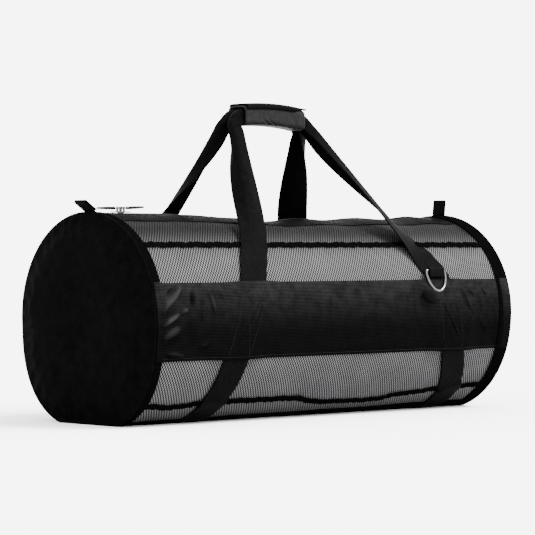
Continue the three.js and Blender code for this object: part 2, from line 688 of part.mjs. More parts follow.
// Cross sections of a handle: a flat middle and two sides that fold down by the fold angle
function handle(side) {
  const stations = handleStations()
  const outer = []
  const inner = []
  stations.forEach((station, i) => {
    if (station.station) {
      const offsets = [-STRAP_HALF, -FOLD_FLAT / 2, FOLD_FLAT / 2, STRAP_HALF]
      const rowAt = (height) => offsets.map((offset) =>
        strapPoint(station.side, station.station, station.hand * offset, height, 1))
      outer.push(rowAt(STRAP_LAYER + WEBBING))
      inner.push(rowAt(STRAP_LAYER))
      return
    }
    const [before, after] = [i - 1, i + 1].map((k) => stations[k].centre ?? station.centre)
    const along = after.clone().sub(before).normalize()
    const across = station.across.clone().addScaledVector(along, -station.across.dot(along)).normalize()
    const up = new THREE.Vector3().crossVectors(across, along)
    const fold = station.fold * DEGREE
    const arm = station.half - FOLD_FLAT / 2
    const rowAt = (height) => [-1, 1].flatMap((hand) => {
      const corner = station.centre.clone().addScaledVector(across, hand * FOLD_FLAT / 2)
      const edge = corner.clone().addScaledVector(across, hand * arm * Math.cos(fold))
        .addScaledVector(up, -arm * Math.sin(fold))
      corner.addScaledVector(up, height).addScaledVector(across, hand * height * Math.tan(fold / 2))
      edge.addScaledVector(up, height * Math.cos(fold)).addScaledVector(across, hand * height * Math.sin(fold))
      return hand < 0 ? [edge, corner] : [corner, edge]
    })
    outer.push(rowAt(WEBBING / 2))
    inner.push(rowAt(-WEBBING / 2))
  })
  const made = wall(outer, inner)
  return side > 0 ? made : mirrored(made)
}

// A copy turned over to the other side of the zip, with its faces still pointing out
function mirrored(geometry) {
  const position = geometry.attributes.position
  const points = Array.from({ length: position.count }, (_, i) =>
    new THREE.Vector3(position.getX(i), -position.getY(i), position.getZ(i)))
  return soup(points)
}

// Belly strap: from under the front band down, under the belly and up to the rear band
function bellyStrap(side) {
  const share = STRAND / (BODY_HALF_WIDTH * DEGREE * (stationAngle(0, 5) - BAND_BOTTOM))
  const low = STRAND / (BODY_HALF_WIDTH * DEGREE * (BELLY_EDGE - LOWER_SEAM))
  const half = SEAM_TAPE_WIDTH / 2 + GAP
  const overTape = SEAM_TAPE_GAP + TAPE + GAP - WEBBING_GAP
  const descent = [
    { station: 3.5, trim: GAP, lift: 0 }, { station: 3.75, trim: 0, lift: 0 }, { station: 4, trim: 0, lift: 0 },
    { station: 4 + share, trim: 0, lift: 0 }, { station: 4.5, trim: 0, lift: 0 },
    { station: 5 - share, trim: -half, lift: 0 },
    { station: 5, trim: -half, lift: overTape }, { station: 5, trim: half, lift: overTape },
    { station: 6 - low / 4, trim: 0, lift: GAP }, { station: 6, trim: 0, lift: GAP },
    ...BELLY_ANGLES.map((angle) => ({ station: 6 + (angle - BELLY_EDGE) / (180 - BELLY_EDGE), trim: 0, lift: 0 })),
  ]
  const offsets = [-STRAP_HALF, 0, STRAP_HALF]
  const rowAt = (height, row, face) => offsets.map((offset) =>
    strapPoint(side, row.station, offset, height + row.lift, face, row.trim))
  const grid = (height) => [
    ...descent.map((row) => rowAt(height, row, 1)),
    rowAt(height, { station: 7, trim: 0, lift: 0 }, 1),
    ...descent.slice().reverse().map((row) => rowAt(height, row, -1)),
  ]
  return wall(grid(STRAP_LAYER + WEBBING), grid(STRAP_LAYER))
}

// Grip wrap: a padded sleeve round both handles
function gripWrap() {
  const sides = 16
  const shares = [-1, -0.5, 0, 0.5, 1]
  const grid = (inset) => shares.map((share) => {
    const x = HAND_GRIP_CENTRE.x + share * GRIP_HALF
    return Array.from({ length: sides }, (_, k) => {
      const turn = 2 * Math.PI * k / sides
      const [c, s] = [Math.cos(turn), Math.sin(turn)]
      const y = (HAND_GRIP_WIDTH / 2 - inset) * Math.sign(c) * Math.abs(c) ** GRIP_CORNER
      const z = (HAND_GRIP_HEIGHT / 2 - inset) * Math.sign(s) * Math.abs(s) ** GRIP_CORNER
      return new THREE.Vector3(x, y, gripHeight(x) + z)
    })
  })
  return wall(grid(0), grid(HAND_GRIP_WALL), { closed: true })
}

// Grip flap: the wrap's free end, laid over its top and down its front, with a corner that runs to a point
function gripFlap() {
  const shares = [-0.96, -0.5, 0, 0.5, 0.85, 1.06]
  const turns = [135, 112.5, 90, 67.5, 45, 22.5]
  const grid = (raise) => shares.map((share) => {
    const x = HAND_GRIP_CENTRE.x + share * GRIP_HALF
    const narrow = 1 - 0.6 * ease((share - 0.6) / 0.46)
    return turns.map((degrees) => {
      const turn = mix(90, degrees, narrow) * DEGREE
      const [c, s] = [Math.cos(turn), Math.sin(turn)]
      const y = (HAND_GRIP_WIDTH / 2 + raise) * Math.sign(c) * Math.abs(c) ** GRIP_CORNER
      const z = (HAND_GRIP_HEIGHT / 2 + raise) * Math.abs(s) ** GRIP_CORNER
      return new THREE.Vector3(x, -y, gripHeight(Math.min(x, HAND_GRIP_CENTRE.x + GRIP_HALF)) + z)
    })
  })
  return wall(grid(FLAP_GAP + FLAP_THICK), grid(FLAP_GAP))
}

// Ring: a straight bar with a half-round bow below it, in its own plane, with the bar's middle at the origin
function dRing() {
  const wide = (RING_WIDTH - RING_WIRE) / 2
  const deep = RING_HEIGHT - RING_WIRE
  const points = [new THREE.Vector3(-wide * 0.9, 0, 0), new THREE.Vector3(wide * 0.9, 0, 0)]
  const steps = 12
  for (let i = 0; i <= steps; i++) {
    const turn = Math.PI * i / steps
    points.push(new THREE.Vector3(wide * Math.cos(turn), 0, -deep * (0.12 + 0.88 * Math.sin(turn) ** 0.9)))
  }
  return tubeThrough(points, RING_WIRE / 2, 8)
}

// Ring tab: webbing folded up round the ring's bar, closed at its foot over the band's top edge
const TAB_EYE = RING_WIRE / 2 + RING_PLAY

function ringTab() {
  const outer = TAB_EYE + WEBBING
  const foot = RING_TAB_HEIGHT - outer
  const shape = new THREE.Shape()
  const arc = (radius, from, to, steps) => Array.from({ length: steps + 1 }, (_, i) => {
    const turn = mix(from, to, i / steps) * DEGREE
    return new THREE.Vector2(radius * Math.cos(turn), radius * Math.sin(turn))
  })
  shape.setFromPoints([
    ...arc(outer, -20, 180, 7),
    new THREE.Vector2(-outer, -foot),
    new THREE.Vector2(-outer + 2 * WEBBING, -foot),
  ])
  shape.holes.push(new THREE.Path(arc(TAB_EYE, 360, 0, 10).slice(0, 10)))
  const made = new THREE.ExtrudeGeometry(shape, { depth: RING_TAB_WIDTH, bevelEnabled: false })
  return made.translate(0, 0, -RING_TAB_WIDTH / 2)
}

// Where the ring's bar lies: in front of the strap, just over the band's top edge on the right of the front
const RING_ANGLE = BAND_TOP - 4.6
const RING_STAND = STRAP_LAYER + WEBBING + 5 * GAP + WEBBING + TAB_EYE

function ringPlace() {
  const x = strapX('right', 3) - 12
  return skin(x, RING_ANGLE, RING_STAND)
}

// End tab: webbing folded into a flat loop, standing on the end binding
function endTab() {
  const half = END_TAB_SLOT / 2 + WEBBING
  const top = END_TAB_LENGTH - half
  const shape = new THREE.Shape()
  shape.setFromPoints([
    new THREE.Vector2(-half, 0), new THREE.Vector2(half, 0), new THREE.Vector2(half, top),
    new THREE.Vector2(half * 0.7, top + half * 0.7), new THREE.Vector2(0, top + half),
    new THREE.Vector2(-half * 0.7, top + half * 0.7), new THREE.Vector2(-half, top),
  ])
  const slot = END_TAB_SLOT / 2
  shape.holes.push(new THREE.Path([
    new THREE.Vector2(-slot, WEBBING), new THREE.Vector2(-slot, top), new THREE.Vector2(0, top + slot),
    new THREE.Vector2(slot, top), new THREE.Vector2(slot, WEBBING),
  ]))
  const made = new THREE.ExtrudeGeometry(shape, { depth: END_TAB_WIDTH, bevelEnabled: false })
  return made.translate(0, 0, -END_TAB_WIDTH / 2).rotateX(Math.PI / 2)
}

// The bag's body
const NET_NAMES = { 1: 'mesh_top', 2: 'mesh_upper', 4: 'mesh_lower', 5: 'mesh_low' }
for (const [word, side] of Object.entries(SIDES)) {
  add(`placket_${word}`, placket(side), 'cloth')
  for (const [first, name] of Object.entries(NET_NAMES)) {
    add(`${name}_${word}`, netPanel(Number(first), side), 'net')
  }
  add(`band_${word}`, band(side), 'band')
  add(`seam_tape_upper_${word}`, seamTape(2, side), 'tape')
  add(`seam_tape_lower_${word}`, seamTape(5, side), 'tape')
  add(`zip_tape_${word}`, zipTape(side), 'tape')
  add(`handle_${word}`, handle(side), 'webbing')
}
add('bottom_panel', bottomPanel(), 'cloth')
for (const [word, end] of Object.entries(ENDS)) {
  add(`end_panel_${word}`, endPanel(end), 'cloth')
  add(`end_binding_${word}`, endBinding(end), 'tape')
  add(`belly_strap_${word}`, bellyStrap(word), 'webbing')
  add(`zip_coil_${word}`, zipCoil(word), 'coil')
}
add('grip_wrap', gripWrap(), 'cloth')
add('grip_flap', gripFlap(), 'webbing')

// The zip's sliders and pulls, which lie back over their sliders and slope down to the cloth
const PULL_SLOPE = { left: 0, right: -3 }
for (const [word, end] of Object.entries(ENDS)) {
  const place = SLIDER_PLACES[word]
  add(`zip_slider_${word}`, slider(word), 'metal').position.set(place, 0, ZIP_TOP)
  const pivot = place - end * (SLIDER_LENGTH - BRIDGE_LENGTH) / 2
  for (const [name, geometry, finish] of [['link', linkLoop(end), 'metal'], ['grip', pullGrip(end), 'rubber']]) {
    const piece = add(`zip_${name}_${word}`, geometry, finish)
    piece.position.set(pivot, 0, ZIP_TOP + PIVOT_HEIGHT)
    piece.rotation.y = end * PULL_SLOPE[word] * DEGREE
  }
}

// The rings and their tabs: the rear pair is the front pair turned half round the bag's upright line
for (const [word, side] of Object.entries(SIDES)) {
  const holder = new THREE.Group()
  const place = ringPlace()
  const hang = new THREE.Group()
  hang.position.copy(place)
  hang.rotation.x = -(90 - RING_ANGLE) * DEGREE * 0.62
  const ring = add(`d_ring_${word}`, dRing(), 'metal')
  const tab = add(`ring_tab_${word}`, ringTab(), 'webbing')
  tab.rotation.set(0, -Math.PI / 2, 0)
  hang.add(ring, tab)
  holder.add(hang)
  holder.rotation.z = side > 0 ? 0 : Math.PI
  bag.add(holder)
}

// The end tabs: the left one leans out and the right one stands up
const TAB_LEAN = { left: 42, right: -4 }
for (const [word, end] of Object.entries(ENDS)) {
  const tab = add(`end_tab_${word}`, endTab(), 'webbing')
  tab.rotation.y = -TAB_LEAN[word] * DEGREE
  tab.position.set(end * (HALF - BINDING_WIDTH / 3), 0, BAG_HEIGHT + GAP + (word === 'left' ? 2 : 0.3))
}

export default bag
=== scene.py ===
"""Mesh dive gear bag: net, ribbed cloth, webbing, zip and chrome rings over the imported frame."""

import math

import bpy
import numpy as np
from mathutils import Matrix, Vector


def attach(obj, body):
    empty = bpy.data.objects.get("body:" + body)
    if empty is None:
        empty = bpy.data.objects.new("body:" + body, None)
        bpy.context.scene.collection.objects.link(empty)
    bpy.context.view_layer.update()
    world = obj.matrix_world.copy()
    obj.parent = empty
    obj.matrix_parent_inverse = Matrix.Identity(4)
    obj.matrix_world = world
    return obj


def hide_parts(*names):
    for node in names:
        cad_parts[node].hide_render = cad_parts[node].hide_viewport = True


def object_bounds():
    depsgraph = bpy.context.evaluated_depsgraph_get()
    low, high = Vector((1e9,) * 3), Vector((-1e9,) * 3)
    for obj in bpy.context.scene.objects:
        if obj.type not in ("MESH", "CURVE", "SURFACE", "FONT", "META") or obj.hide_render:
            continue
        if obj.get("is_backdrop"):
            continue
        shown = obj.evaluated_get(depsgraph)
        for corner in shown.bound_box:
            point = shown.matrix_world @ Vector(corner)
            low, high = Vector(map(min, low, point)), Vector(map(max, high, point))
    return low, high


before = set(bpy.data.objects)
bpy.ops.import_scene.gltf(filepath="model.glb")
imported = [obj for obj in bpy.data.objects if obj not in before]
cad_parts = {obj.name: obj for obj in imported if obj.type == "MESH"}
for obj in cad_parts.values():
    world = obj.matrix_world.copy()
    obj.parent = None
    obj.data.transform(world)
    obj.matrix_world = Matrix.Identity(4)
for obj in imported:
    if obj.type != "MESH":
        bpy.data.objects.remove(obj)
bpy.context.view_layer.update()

MM = 0.001
DEGREE = math.pi / 180

# Camera of the photograph, in metres and millimetres of a 36 mm wide picture
CAMERA_PLACE = (-2.97357, -3.19759, 0.27962)
CAMERA_LOOKS = (0.67889, 0.73419, -0.00881)
CAMERA_LENS = 178.15
SENSOR_WIDTH = 36

# Sizes of the bag, in millimetres, as the frame has them
BAG_LENGTH = 792
BAG_HEIGHT = 330
BAG_WIDTH = 330
BELLY_DROP = 8
END_DOME = 9
CLOTH = 1.2
BAND_CLOTH = 1.4
TAPE = 1.5
WEBBING = 2
GAP = 0.3
WEBBING_GAP = 0.5
WEBBING_WIDTH = 50
SEAM_TAPE_WIDTH = 8
SEAM_TAPE_GAP = 0.7
BINDING_WIDTH = 16
COIL_WIDTH = 6.8
COIL_THICK = 2.8
ZIP_TAPE_WIDTH = 9.3
ZIP_TAPE_THICK = 1
SLIDER_PLACES = {"left": -338.8, "right": -321.2}
HAND_GRIP_LENGTH = 132
HAND_GRIP_WIDTH = 44
HAND_GRIP_HEIGHT = 34
HAND_GRIP_WALL = 2.7
HAND_GRIP_CENTRE = (-18, 488)
HAND_GRIP_ARCH = 4
HAND_GRIP_DROOP = 4
GRIP_CORNER = 0.4
FLAP_THICK = 2.2
FLAP_GAP = 1
FOLD_FLAT = 9
FOLD_ANGLE = 85
RING_WIRE = 4.5
RING_WIDTH = 48
RING_HEIGHT = 40
RING_TAB_WIDTH = 36
RING_TAB_HEIGHT = 17
RING_PLAY = 0.5
END_TAB_WIDTH = 25
END_TAB_LENGTH = 26
END_TAB_SLOT = 1.6

# Places of the long seams, as angles down from the zip
PLACKET_EDGE = 22
UPPER_SEAM = 46
BAND_TOP = 70
BAND_BOTTOM = 112
LOWER_SEAM = 142
BELLY_EDGE = 154

# Shares of the half length, and the sag, dip, section power or strap place there
LOWER_SEAM_WANDER = [(-1, -5), (-0.82, -3), (-0.66, -5), (-0.2, -4), (0.02, 1), (0.3, 2), (0.48, -1.5),
                     (0.7, -3.5), (1, -5)]
TOP_LINE = [(-1, 0), (-0.63, 0.001), (-0.5, 0.006), (-0.24, 0.019), (-0.07, 0.036), (0.14, 0.018),
            (0.27, 0.026), (0.47, 0.013), (0.63, 0.02), (0.79, 0.003), (0.88, 0.01), (1, 0)]
SECTION_SHAPE = [(-1, 2.5), (0, 2.3), (1, 2.06)]
STRAP_STATIONS = [2, 3, 4, 5, 6, 7]
STRAP_ROUTE = {
    "left": [-0.41, -0.48, -0.578, -0.62, -0.632, -0.632],
    "right": [0.49, 0.58, 0.659, 0.745, 0.757, 0.757],
}
FOLDS = {"depth": 1.2, "pitch": 38, "lean": 0.5, "reach": 0.05}

HALF = BAG_LENGTH / 2
LAYER = CLOTH + GAP
BODY_HALF_WIDTH = BAG_WIDTH / 2 - LAYER - TAPE
BODY_HALF_HEIGHT = BAG_HEIGHT / 2 - LAYER - TAPE
MIDDLE = BAG_HEIGHT / 2
STRAP_LAYER = CLOTH + WEBBING_GAP
STRAP_TOP = STRAP_LAYER + WEBBING
STRAP_HALF = WEBBING_WIDTH / 2
RELIEF_HALF = STRAP_HALF + 2.5
RELIEF_RAMP = 5
SIDES = {"front": 1, "rear": -1}
ENDS = {"left": -1, "right": 1}


# Camera first

def place_camera():
    """The camera stands where the photograph was taken, and looks along its line of sight with Z up."""
    data = bpy.data.cameras.new("camera")
    data.lens = CAMERA_LENS
    data.sensor_width = SENSOR_WIDTH
    camera = bpy.data.objects.new("camera", data)
    camera.location = CAMERA_PLACE
    camera.rotation_euler = Vector(CAMERA_LOOKS).to_track_quat("-Z", "Y").to_euler()
    bpy.context.collection.objects.link(camera)
    bpy.context.scene.camera = camera


place_camera()


# The bag's form

def ease(t):
    """Smooth step: 3t² - 2t³ between 0 and 1, and level outside."""
    t = np.clip(t, 0, 1)
    return t * t * (3 - 2 * t)


def read(table, place):
    """The table's value at a place, with a smooth step from row to row."""
    at, value = np.array(table, float).T
    row = np.clip(np.searchsorted(at, place, side="right") - 1, 0, len(at) - 2)
    share = ease((place - at[row]) / (at[row + 1] - at[row]))
    return value[row] + (value[row + 1] - value[row]) * share


def station_angle(x, station):
    """Angle down from the zip at a station, which counts seams: straight from one seam to the next."""
    x, station = np.broadcast_arrays(np.asarray(x, float), np.asarray(station, float))
    lower = LOWER_SEAM + read(LOWER_SEAM_WANDER, x / HALF)
    seams = [0, PLACKET_EDGE, UPPER_SEAM, BAND_TOP, BAND_BOTTOM, lower, BELLY_EDGE, 180]
    seams = np.array([seam + 0 * x for seam in seams])
    row = np.clip(station.astype(int), 0, 6)
    low = np.take_along_axis(seams, row[None], 0)[0]
    high = np.take_along_axis(seams, row[None] + 1, 0)[0]
    return low + (high - low) * (station - row)


def strap_x(side, station):
    """Place of a strap's middle at a station: straight from row to row of its route."""
    return HALF * np.interp(station, STRAP_STATIONS, STRAP_ROUTE[side])


def belly_height(x):
    """Height of the cloth's inner face over the floor: its own thickness, and what lies under it."""
    beside = np.minimum(*(np.abs(x - strap_x(side, 7)) - RELIEF_HALF for side in ENDS))
    over_strap = (STRAP_TOP - CLOTH) * (1 - ease(beside / RELIEF_RAMP))
    over_binding = (GAP + TAPE) * ease((np.abs(x) - HALF + BINDING_WIDTH + RELIEF_RAMP) / RELIEF_RAMP)
    return CLOTH + np.maximum(over_strap, over_binding)


def body(x, angle):
    """Distance sideways and up from the bag's middle line to the cloth's inner face. The section is a
    superellipse, round above and squarer below, less the dip of the top, plus slanted waves in the band
    beside each end."""
    s, c = np.sin(angle * DEGREE), np.cos(angle * DEGREE)
    power = 2 + (read(SECTION_SHAPE, x / HALF) - 2) * ease(-3 * c)
    tall = BODY_HALF_HEIGHT + BELLY_DROP * (c < 0)
    radius = (np.abs(s / BODY_HALF_WIDTH) ** power + np.abs(c / tall) ** power) ** (-1 / power)
    from_top = np.minimum(angle, 360 - angle)
    crown = np.cos(np.minimum(1, from_top / (UPPER_SEAM + 6)) * math.pi / 2) ** 2
    dip = BAG_HEIGHT * read(TOP_LINE, x / HALF) * crown
    in_band = np.sin(math.pi * np.clip((from_top - BAND_TOP) / (BAND_BOTTOM - BAND_TOP), 0, 1))
    from_end = HALF - np.abs(x)
    away = np.maximum(0, from_end - BINDING_WIDTH) / (BAG_LENGTH * FOLDS["reach"])
    swell = (away * np.exp(1 - away)) ** 2
    wave = np.sin(2 * math.pi * (from_end - FOLDS["lean"] * (from_top - 90)) / FOLDS["pitch"])
    radius = radius + FOLDS["depth"] * in_band * swell * wave
    return -radius * s, radius * c - dip


def skin(x, angle, height):
    """Points at x, an angle down from the zip, past 180 on the rear, and a height over the inner face,
    along the section's normal. Nothing goes under the floor."""
    x, angle, height = np.broadcast_arrays(*(np.asarray(v, float) for v in (x, angle, height)))
    y0, z0 = body(x, angle - 0.5)
    y1, z1 = body(x, angle + 0.5)
    length = np.hypot(y1 - y0, z1 - z0)
    along_y, along_z = (y1 - y0) / length, (z1 - z0) / length
    y, z = body(x, angle)
    z = MIDDLE + z - height * along_y
    return np.stack([x, y + height * along_z, np.maximum(z, np.maximum(0, belly_height(x) - height))], -1)


def panel(x, station, height, side, trim=0):
    """Points of a panel by station and side. The trim is an arc in millimetres, added downward."""
    angle = station_angle(x, station) + trim / BODY_HALF_WIDTH / DEGREE
    return skin(x, angle if side > 0 else 360 - angle, height)


# Relief of cloth

def ridges(u, v, pitch, seed, lines=5):
    """Crumpled cloth: the mean of a few wavy trains of sharp ridges, 1 - |sin| to a power, in random
    directions."""
    draw = np.random.default_rng(seed)
    total = 0
    for _ in range(lines):
        turn, phase, stretch = draw.uniform(0, math.pi), draw.uniform(0, 9), draw.uniform(0.7, 1.6)
        warp = np.sin(u / (pitch * 2.3) + draw.uniform(0, 9)) + np.sin(v / (pitch * 1.7) + draw.uniform(0, 9))
        run = (u * math.cos(turn) + v * math.sin(turn)) / (pitch * stretch) + phase + 0.6 * warp
        total = total + (1 - np.abs(np.sin(run))) ** 2.2
    return total / lines


def creases(u, v, table):
    """Folds along straight lines: depth times exp(-(distance / width)²), fading towards both ends."""
    total = 0
    for u0, v0, u1, v1, width, depth in table:
        run = np.hypot(u1 - u0, v1 - v0)
        along = ((u - u0) * (u1 - u0) + (v - v0) * (v1 - v0)) / run ** 2
        near = np.clip(along, 0, 1)
        away = np.hypot(u - u0 - near * (u1 - u0), v - v0 - near * (v1 - v0))
        fade = ease(np.minimum(along + 0.15, 1.15 - along) / 0.6)
        total = total + depth * fade * np.exp(-(away / width) ** 2)
    return total


# Meshes

def put(name, mesh, finish, body_name="bag", replaced=(), smooth=True):
    """Links a piece, gives it its finish and lets it ride on its body."""
    if smooth:
        mesh.shade_smooth()
    obj = bpy.data.objects.new(name, mesh)
    bpy.context.collection.objects.link(obj)
    material, slot = finish
    mesh.materials.append(material)
    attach(obj, body_name)
    if replaced:
        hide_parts(*replaced)
    return obj


def mesh_of(name, points, faces, uv=None):
    """A mesh of an array of points and an array of faces, with a UV for each face corner if given, all in
    millimetres."""
    points = np.asarray(points, float).reshape(-1, 3) * MM
    faces = np.asarray(faces)
    count, corners = faces.shape
    mesh = bpy.data.meshes.new(name)
    mesh.vertices.add(len(points))
    mesh.vertices.foreach_set("co", points.ravel())
    mesh.loops.add(count * corners)
    mesh.loops.foreach_set("vertex_index", faces.ravel().astype(np.int32))
    mesh.polygons.add(count)
    mesh.polygons.foreach_set("loop_start", np.arange(0, count * corners, corners, dtype=np.int32))
    if uv is not None:
        layer = mesh.uv_layers.new(name="cut")
        layer.data.foreach_set("uv", (np.asarray(uv, float) * MM).ravel())
    mesh.update(calc_edges=True)
    mesh.validate()
    return mesh


def mesh_of_both(name, points, faces, uv):
    """A mesh of points in millimetres and a list of quads and triangles, with a UV for each face corner."""
    mesh = bpy.data.meshes.new(name)
    mesh.from_pydata((points * MM).tolist(), [], faces)
    layer = mesh.uv_layers.new(name="cut")
    layer.data.foreach_set("uv", (uv * MM).ravel())
    return mesh


def face_out(mesh):
    """Turns the faces away from the bag's middle line, by the sum of their areas that point so."""
    count = len(mesh.polygons)
    normals = np.empty(count * 3)
    centres = np.empty(count * 3)
    areas = np.empty(count)
    mesh.polygons.foreach_get("normal", normals)
    mesh.polygons.foreach_get("center", centres)
    mesh.polygons.foreach_get("area", areas)
    away = (centres.reshape(-1, 3) - [0, 0, MIDDLE * MM]) * [0, 1, 1]
    if (areas * (normals.reshape(-1, 3) * away).sum(1)).sum() < 0:
        mesh.flip_normals()
    return mesh


def grid_faces(rows, columns, wrap=False):
    """Quads of a grid of points, row by row. With wrap, the last column meets the first."""
    index = np.arange(rows * columns).reshape(rows, columns)
    if wrap:
        index = np.concatenate([index, index[:, :1]], 1)
    return np.stack([index[:-1, :-1], index[:-1, 1:], index[1:, 1:], index[1:, :-1]], -1).reshape(-1, 4)


def grid_uv(u, v):
    """UV corners of the same quads, from grids of u and v in millimetres."""
    both = np.stack(np.broadcast_arrays(u, v), -1).astype(float)
    return np.stack([both[:-1, :-1], both[:-1, 1:], both[1:, 1:], both[1:, :-1]], -2).reshape(-1, 4, 2)


def inner_wall(obj, thick):
    """Gives a piece its wall inward."""
    wall = obj.modifiers.new("wall", "SOLIDIFY")
    wall.thickness = thick * MM
    wall.offset = -1
    return obj


def cloth_wall(name, outer, u, v, thick, finish, replaced):
    """A cloth panel from the grid of its outer face."""
    mesh = face_out(mesh_of(name, outer, grid_faces(*outer.shape[:2]), grid_uv(u, v)))
    return inner_wall(put(name, mesh, finish, replaced=replaced), thick)


def bar(name, loops, finish, replaced=(), body_name="bag", u=None, v=None, closed=False, join=None):
    """A solid bar from a grid of section loops along a path. The ends are closed, or the last loop meets
    the first. With join, it is kept as one part of a shared mesh."""
    rows, columns = loops.shape[:2]
    points = loops.reshape(-1, 3)
    if u is None:
        step = np.linalg.norm(np.diff(loops.mean(1), axis=0), axis=1)
        u = np.concatenate([[0], np.cumsum(step)])[:, None]
        v = np.linspace(0, np.linalg.norm(np.diff(loops[0], axis=0), axis=1).sum(), columns + 1)[None]
    quads = grid_faces(rows, columns, True)
    uv = grid_uv(*np.broadcast_arrays(u, v))
    index = np.arange(columns)
    ahead = np.roll(index, -1)
    last = (rows - 1) * columns
    triangles = np.empty((0, 3), int)
    if closed:
        quads = np.concatenate([quads, np.stack([last + index, last + ahead, ahead, index], -1)])
        uv = np.concatenate([uv, uv[:columns]])
    else:
        tip = np.full(columns, len(points))
        points = np.concatenate([points, loops[[0, -1]].mean(1)])
        triangles = np.concatenate([np.stack([ahead, index, tip], -1),
                                    np.stack([last + index, last + ahead, tip + 1], -1)])
    part = (points, quads, triangles, uv)
    if join is not None:
        join.append(part)
        return None
    return joined(name, [part], finish, replaced, body_name)


def joined(name, parts, finish, replaced=(), body_name="bag"):
    """One piece from several closed parts, each with its own points, quads, triangles and UVs."""
    vertices, faces, corners = [], [], []
    start = 0
    for points, quads, triangles, uv in parts:
        turned = volume_of(points, np.concatenate([triangles_of(quads), triangles])) < 0
        order = slice(None, None, -1) if turned else slice(None)
        vertices.append(points)
        no_uv = np.zeros((len(triangles), 3, 2))
        for group, group_uv in ((quads, uv), (triangles, no_uv)):
            faces.extend((group[:, order] + start).tolist())
            corners.append(np.asarray(group_uv)[:, order].reshape(-1, 2))
        start += len(points)
    mesh = mesh_of_both(name, np.concatenate(vertices), faces, np.concatenate(corners))
    return put(name, mesh, finish, body_name, replaced)


def triangles_of(quads):
    """Two triangles for each quad."""
    return np.concatenate([quads[:, [0, 1, 2]], quads[:, [0, 2, 3]]])


def volume_of(points, triangles):
    """Signed volume inside closed triangles: a sixth of the sum of their triple products."""
    a, b, c = (points[triangles[:, k]] for k in range(3))
    return np.einsum("ij,ij->i", a, np.cross(b, c)).sum() / 6


def swept(centres, hint, section):
    """Loops of a section carried along a path: its first column goes across, by the hint squared to the
    path, and its second goes up."""
    along = np.gradient(centres, axis=0)
    along /= np.linalg.norm(along, axis=1, keepdims=True)
    across = hint - (hint * along).sum(1, keepdims=True) * along
    across /= np.linalg.norm(across, axis=1, keepdims=True)
    up = np.cross(across, along)
    return centres[:, None] + section[..., :1] * across[:, None] + section[..., 1:] * up[:, None]


def smooth_path(knots, step):
    """Hermite curve through rows of numbers, by the length along the first three, with a point at every
    step."""
    knots = np.asarray(knots, float)
    at = np.concatenate([[0], np.cumsum(np.linalg.norm(np.diff(knots[:, :3], axis=0), axis=1))])
    slope = np.gradient(knots, at, axis=0)
    place = np.linspace(0, at[-1], max(2, int(at[-1] / step)))
    row = np.clip(np.searchsorted(at, place, side="right") - 1, 0, len(at) - 2)
    span = (at[row + 1] - at[row])[:, None]
    t = ((place - at[row])[:, None]) / span
    return ((2 * t**3 - 3 * t**2 + 1) * knots[row] + (t**3 - 2 * t**2 + t) * span * slope[row]
            + (3 * t**2 - 2 * t**3) * knots[row + 1] + (t**3 - t**2) * span * slope[row + 1])


def tape_loop(half, thick, fold=0, count=9):
    """Section of webbing or tape: sideways and up offsets round its edge. The flat is bent by a fold that
    turns smoothly on each side of the middle, and the two edges are rounded."""
    w = np.linspace(-half, half, 2 * count + 1)
    theta = fold * DEGREE * ease((np.abs(w) - 1) / 8)
    step = np.diff(w)
    middle_theta = (theta[1:] + theta[:-1]) / 2
    side = np.concatenate([[0], np.cumsum(step * np.cos(middle_theta))])
    side -= side[count]
    rise = np.concatenate([[0], np.cumsum(-step * np.sin(middle_theta) * np.sign((w[1:] + w[:-1]) / 2))])
    rise -= rise[count]
    out_side, out_rise = np.sin(theta) * np.sign(w), np.cos(theta)
    top = np.stack([side + out_side * thick / 2, rise + out_rise * thick / 2], 1)
    under = np.stack([side - out_side * thick / 2, rise - out_rise * thick / 2], 1)
    edge = []
    for k, sign in ((-1, 1), (0, -1)):
        along = np.array([out_rise[k], -out_side[k]]) * sign
        edge.append((top[k] + under[k]) / 2 + along * thick * 0.35)
    return np.concatenate([top, edge[:1], under[::-1], edge[1:]])


# Finishes

def linear(hex_colour):
    """An sRGB hex colour as linear red, green, blue and alpha."""
    parts = [int(hex_colour[k:k + 2], 16) / 255 for k in (1, 3, 5)]
    return [*(p / 12.92 if p <= 0.04045 else ((p + 0.055) / 1.055) ** 2.4 for p in parts), 1.0]


def add(tree, kind, inputs=None, **settings):
    """A node with its settings, and its inputs as values or as sockets to link."""
    node = tree.nodes.new(kind)
    for key, value in settings.items():
        setattr(node, key, value)
    for key, value in (inputs or {}).items():
        if isinstance(value, bpy.types.NodeSocket):
            tree.links.new(value, node.inputs[key])
        else:
            node.inputs[key].default_value = value
    return node


def maths(tree, operation, *values):
    """One sum, product or wave of sockets and numbers."""
    return add(tree, "ShaderNodeMath", dict(enumerate(values)), operation=operation).outputs[0]


def noise(tree, place, scale, detail=2.0, roughness=0.5):
    """Cloudy noise on the piece's own coordinates."""
    inputs = {"Vector": place["Object"], "Scale": scale, "Detail": detail, "Roughness": roughness}
    return add(tree, "ShaderNodeTexNoise", inputs).outputs["Fac"]


def ranged(tree, value, low, high, to_low=0.0, to_high=1.0, smooth=False):
    """A value moved from one range to another, and held at its ends."""
    inputs = {"Value": value, "From Min": low, "From Max": high, "To Min": to_low, "To Max": to_high}
    kind = "SMOOTHSTEP" if smooth else "LINEAR"
    return add(tree, "ShaderNodeMapRange", inputs, interpolation_type=kind).outputs[0]


def mixed(tree, share, *colours):
    """A blend of two colours, each a hex colour or a socket."""
    first, second = (linear(colour) if isinstance(colour, str) else colour for colour in colours)
    return add(tree, "ShaderNodeMix", {0: share, 6: first, 7: second}, data_type="RGBA").outputs[2]


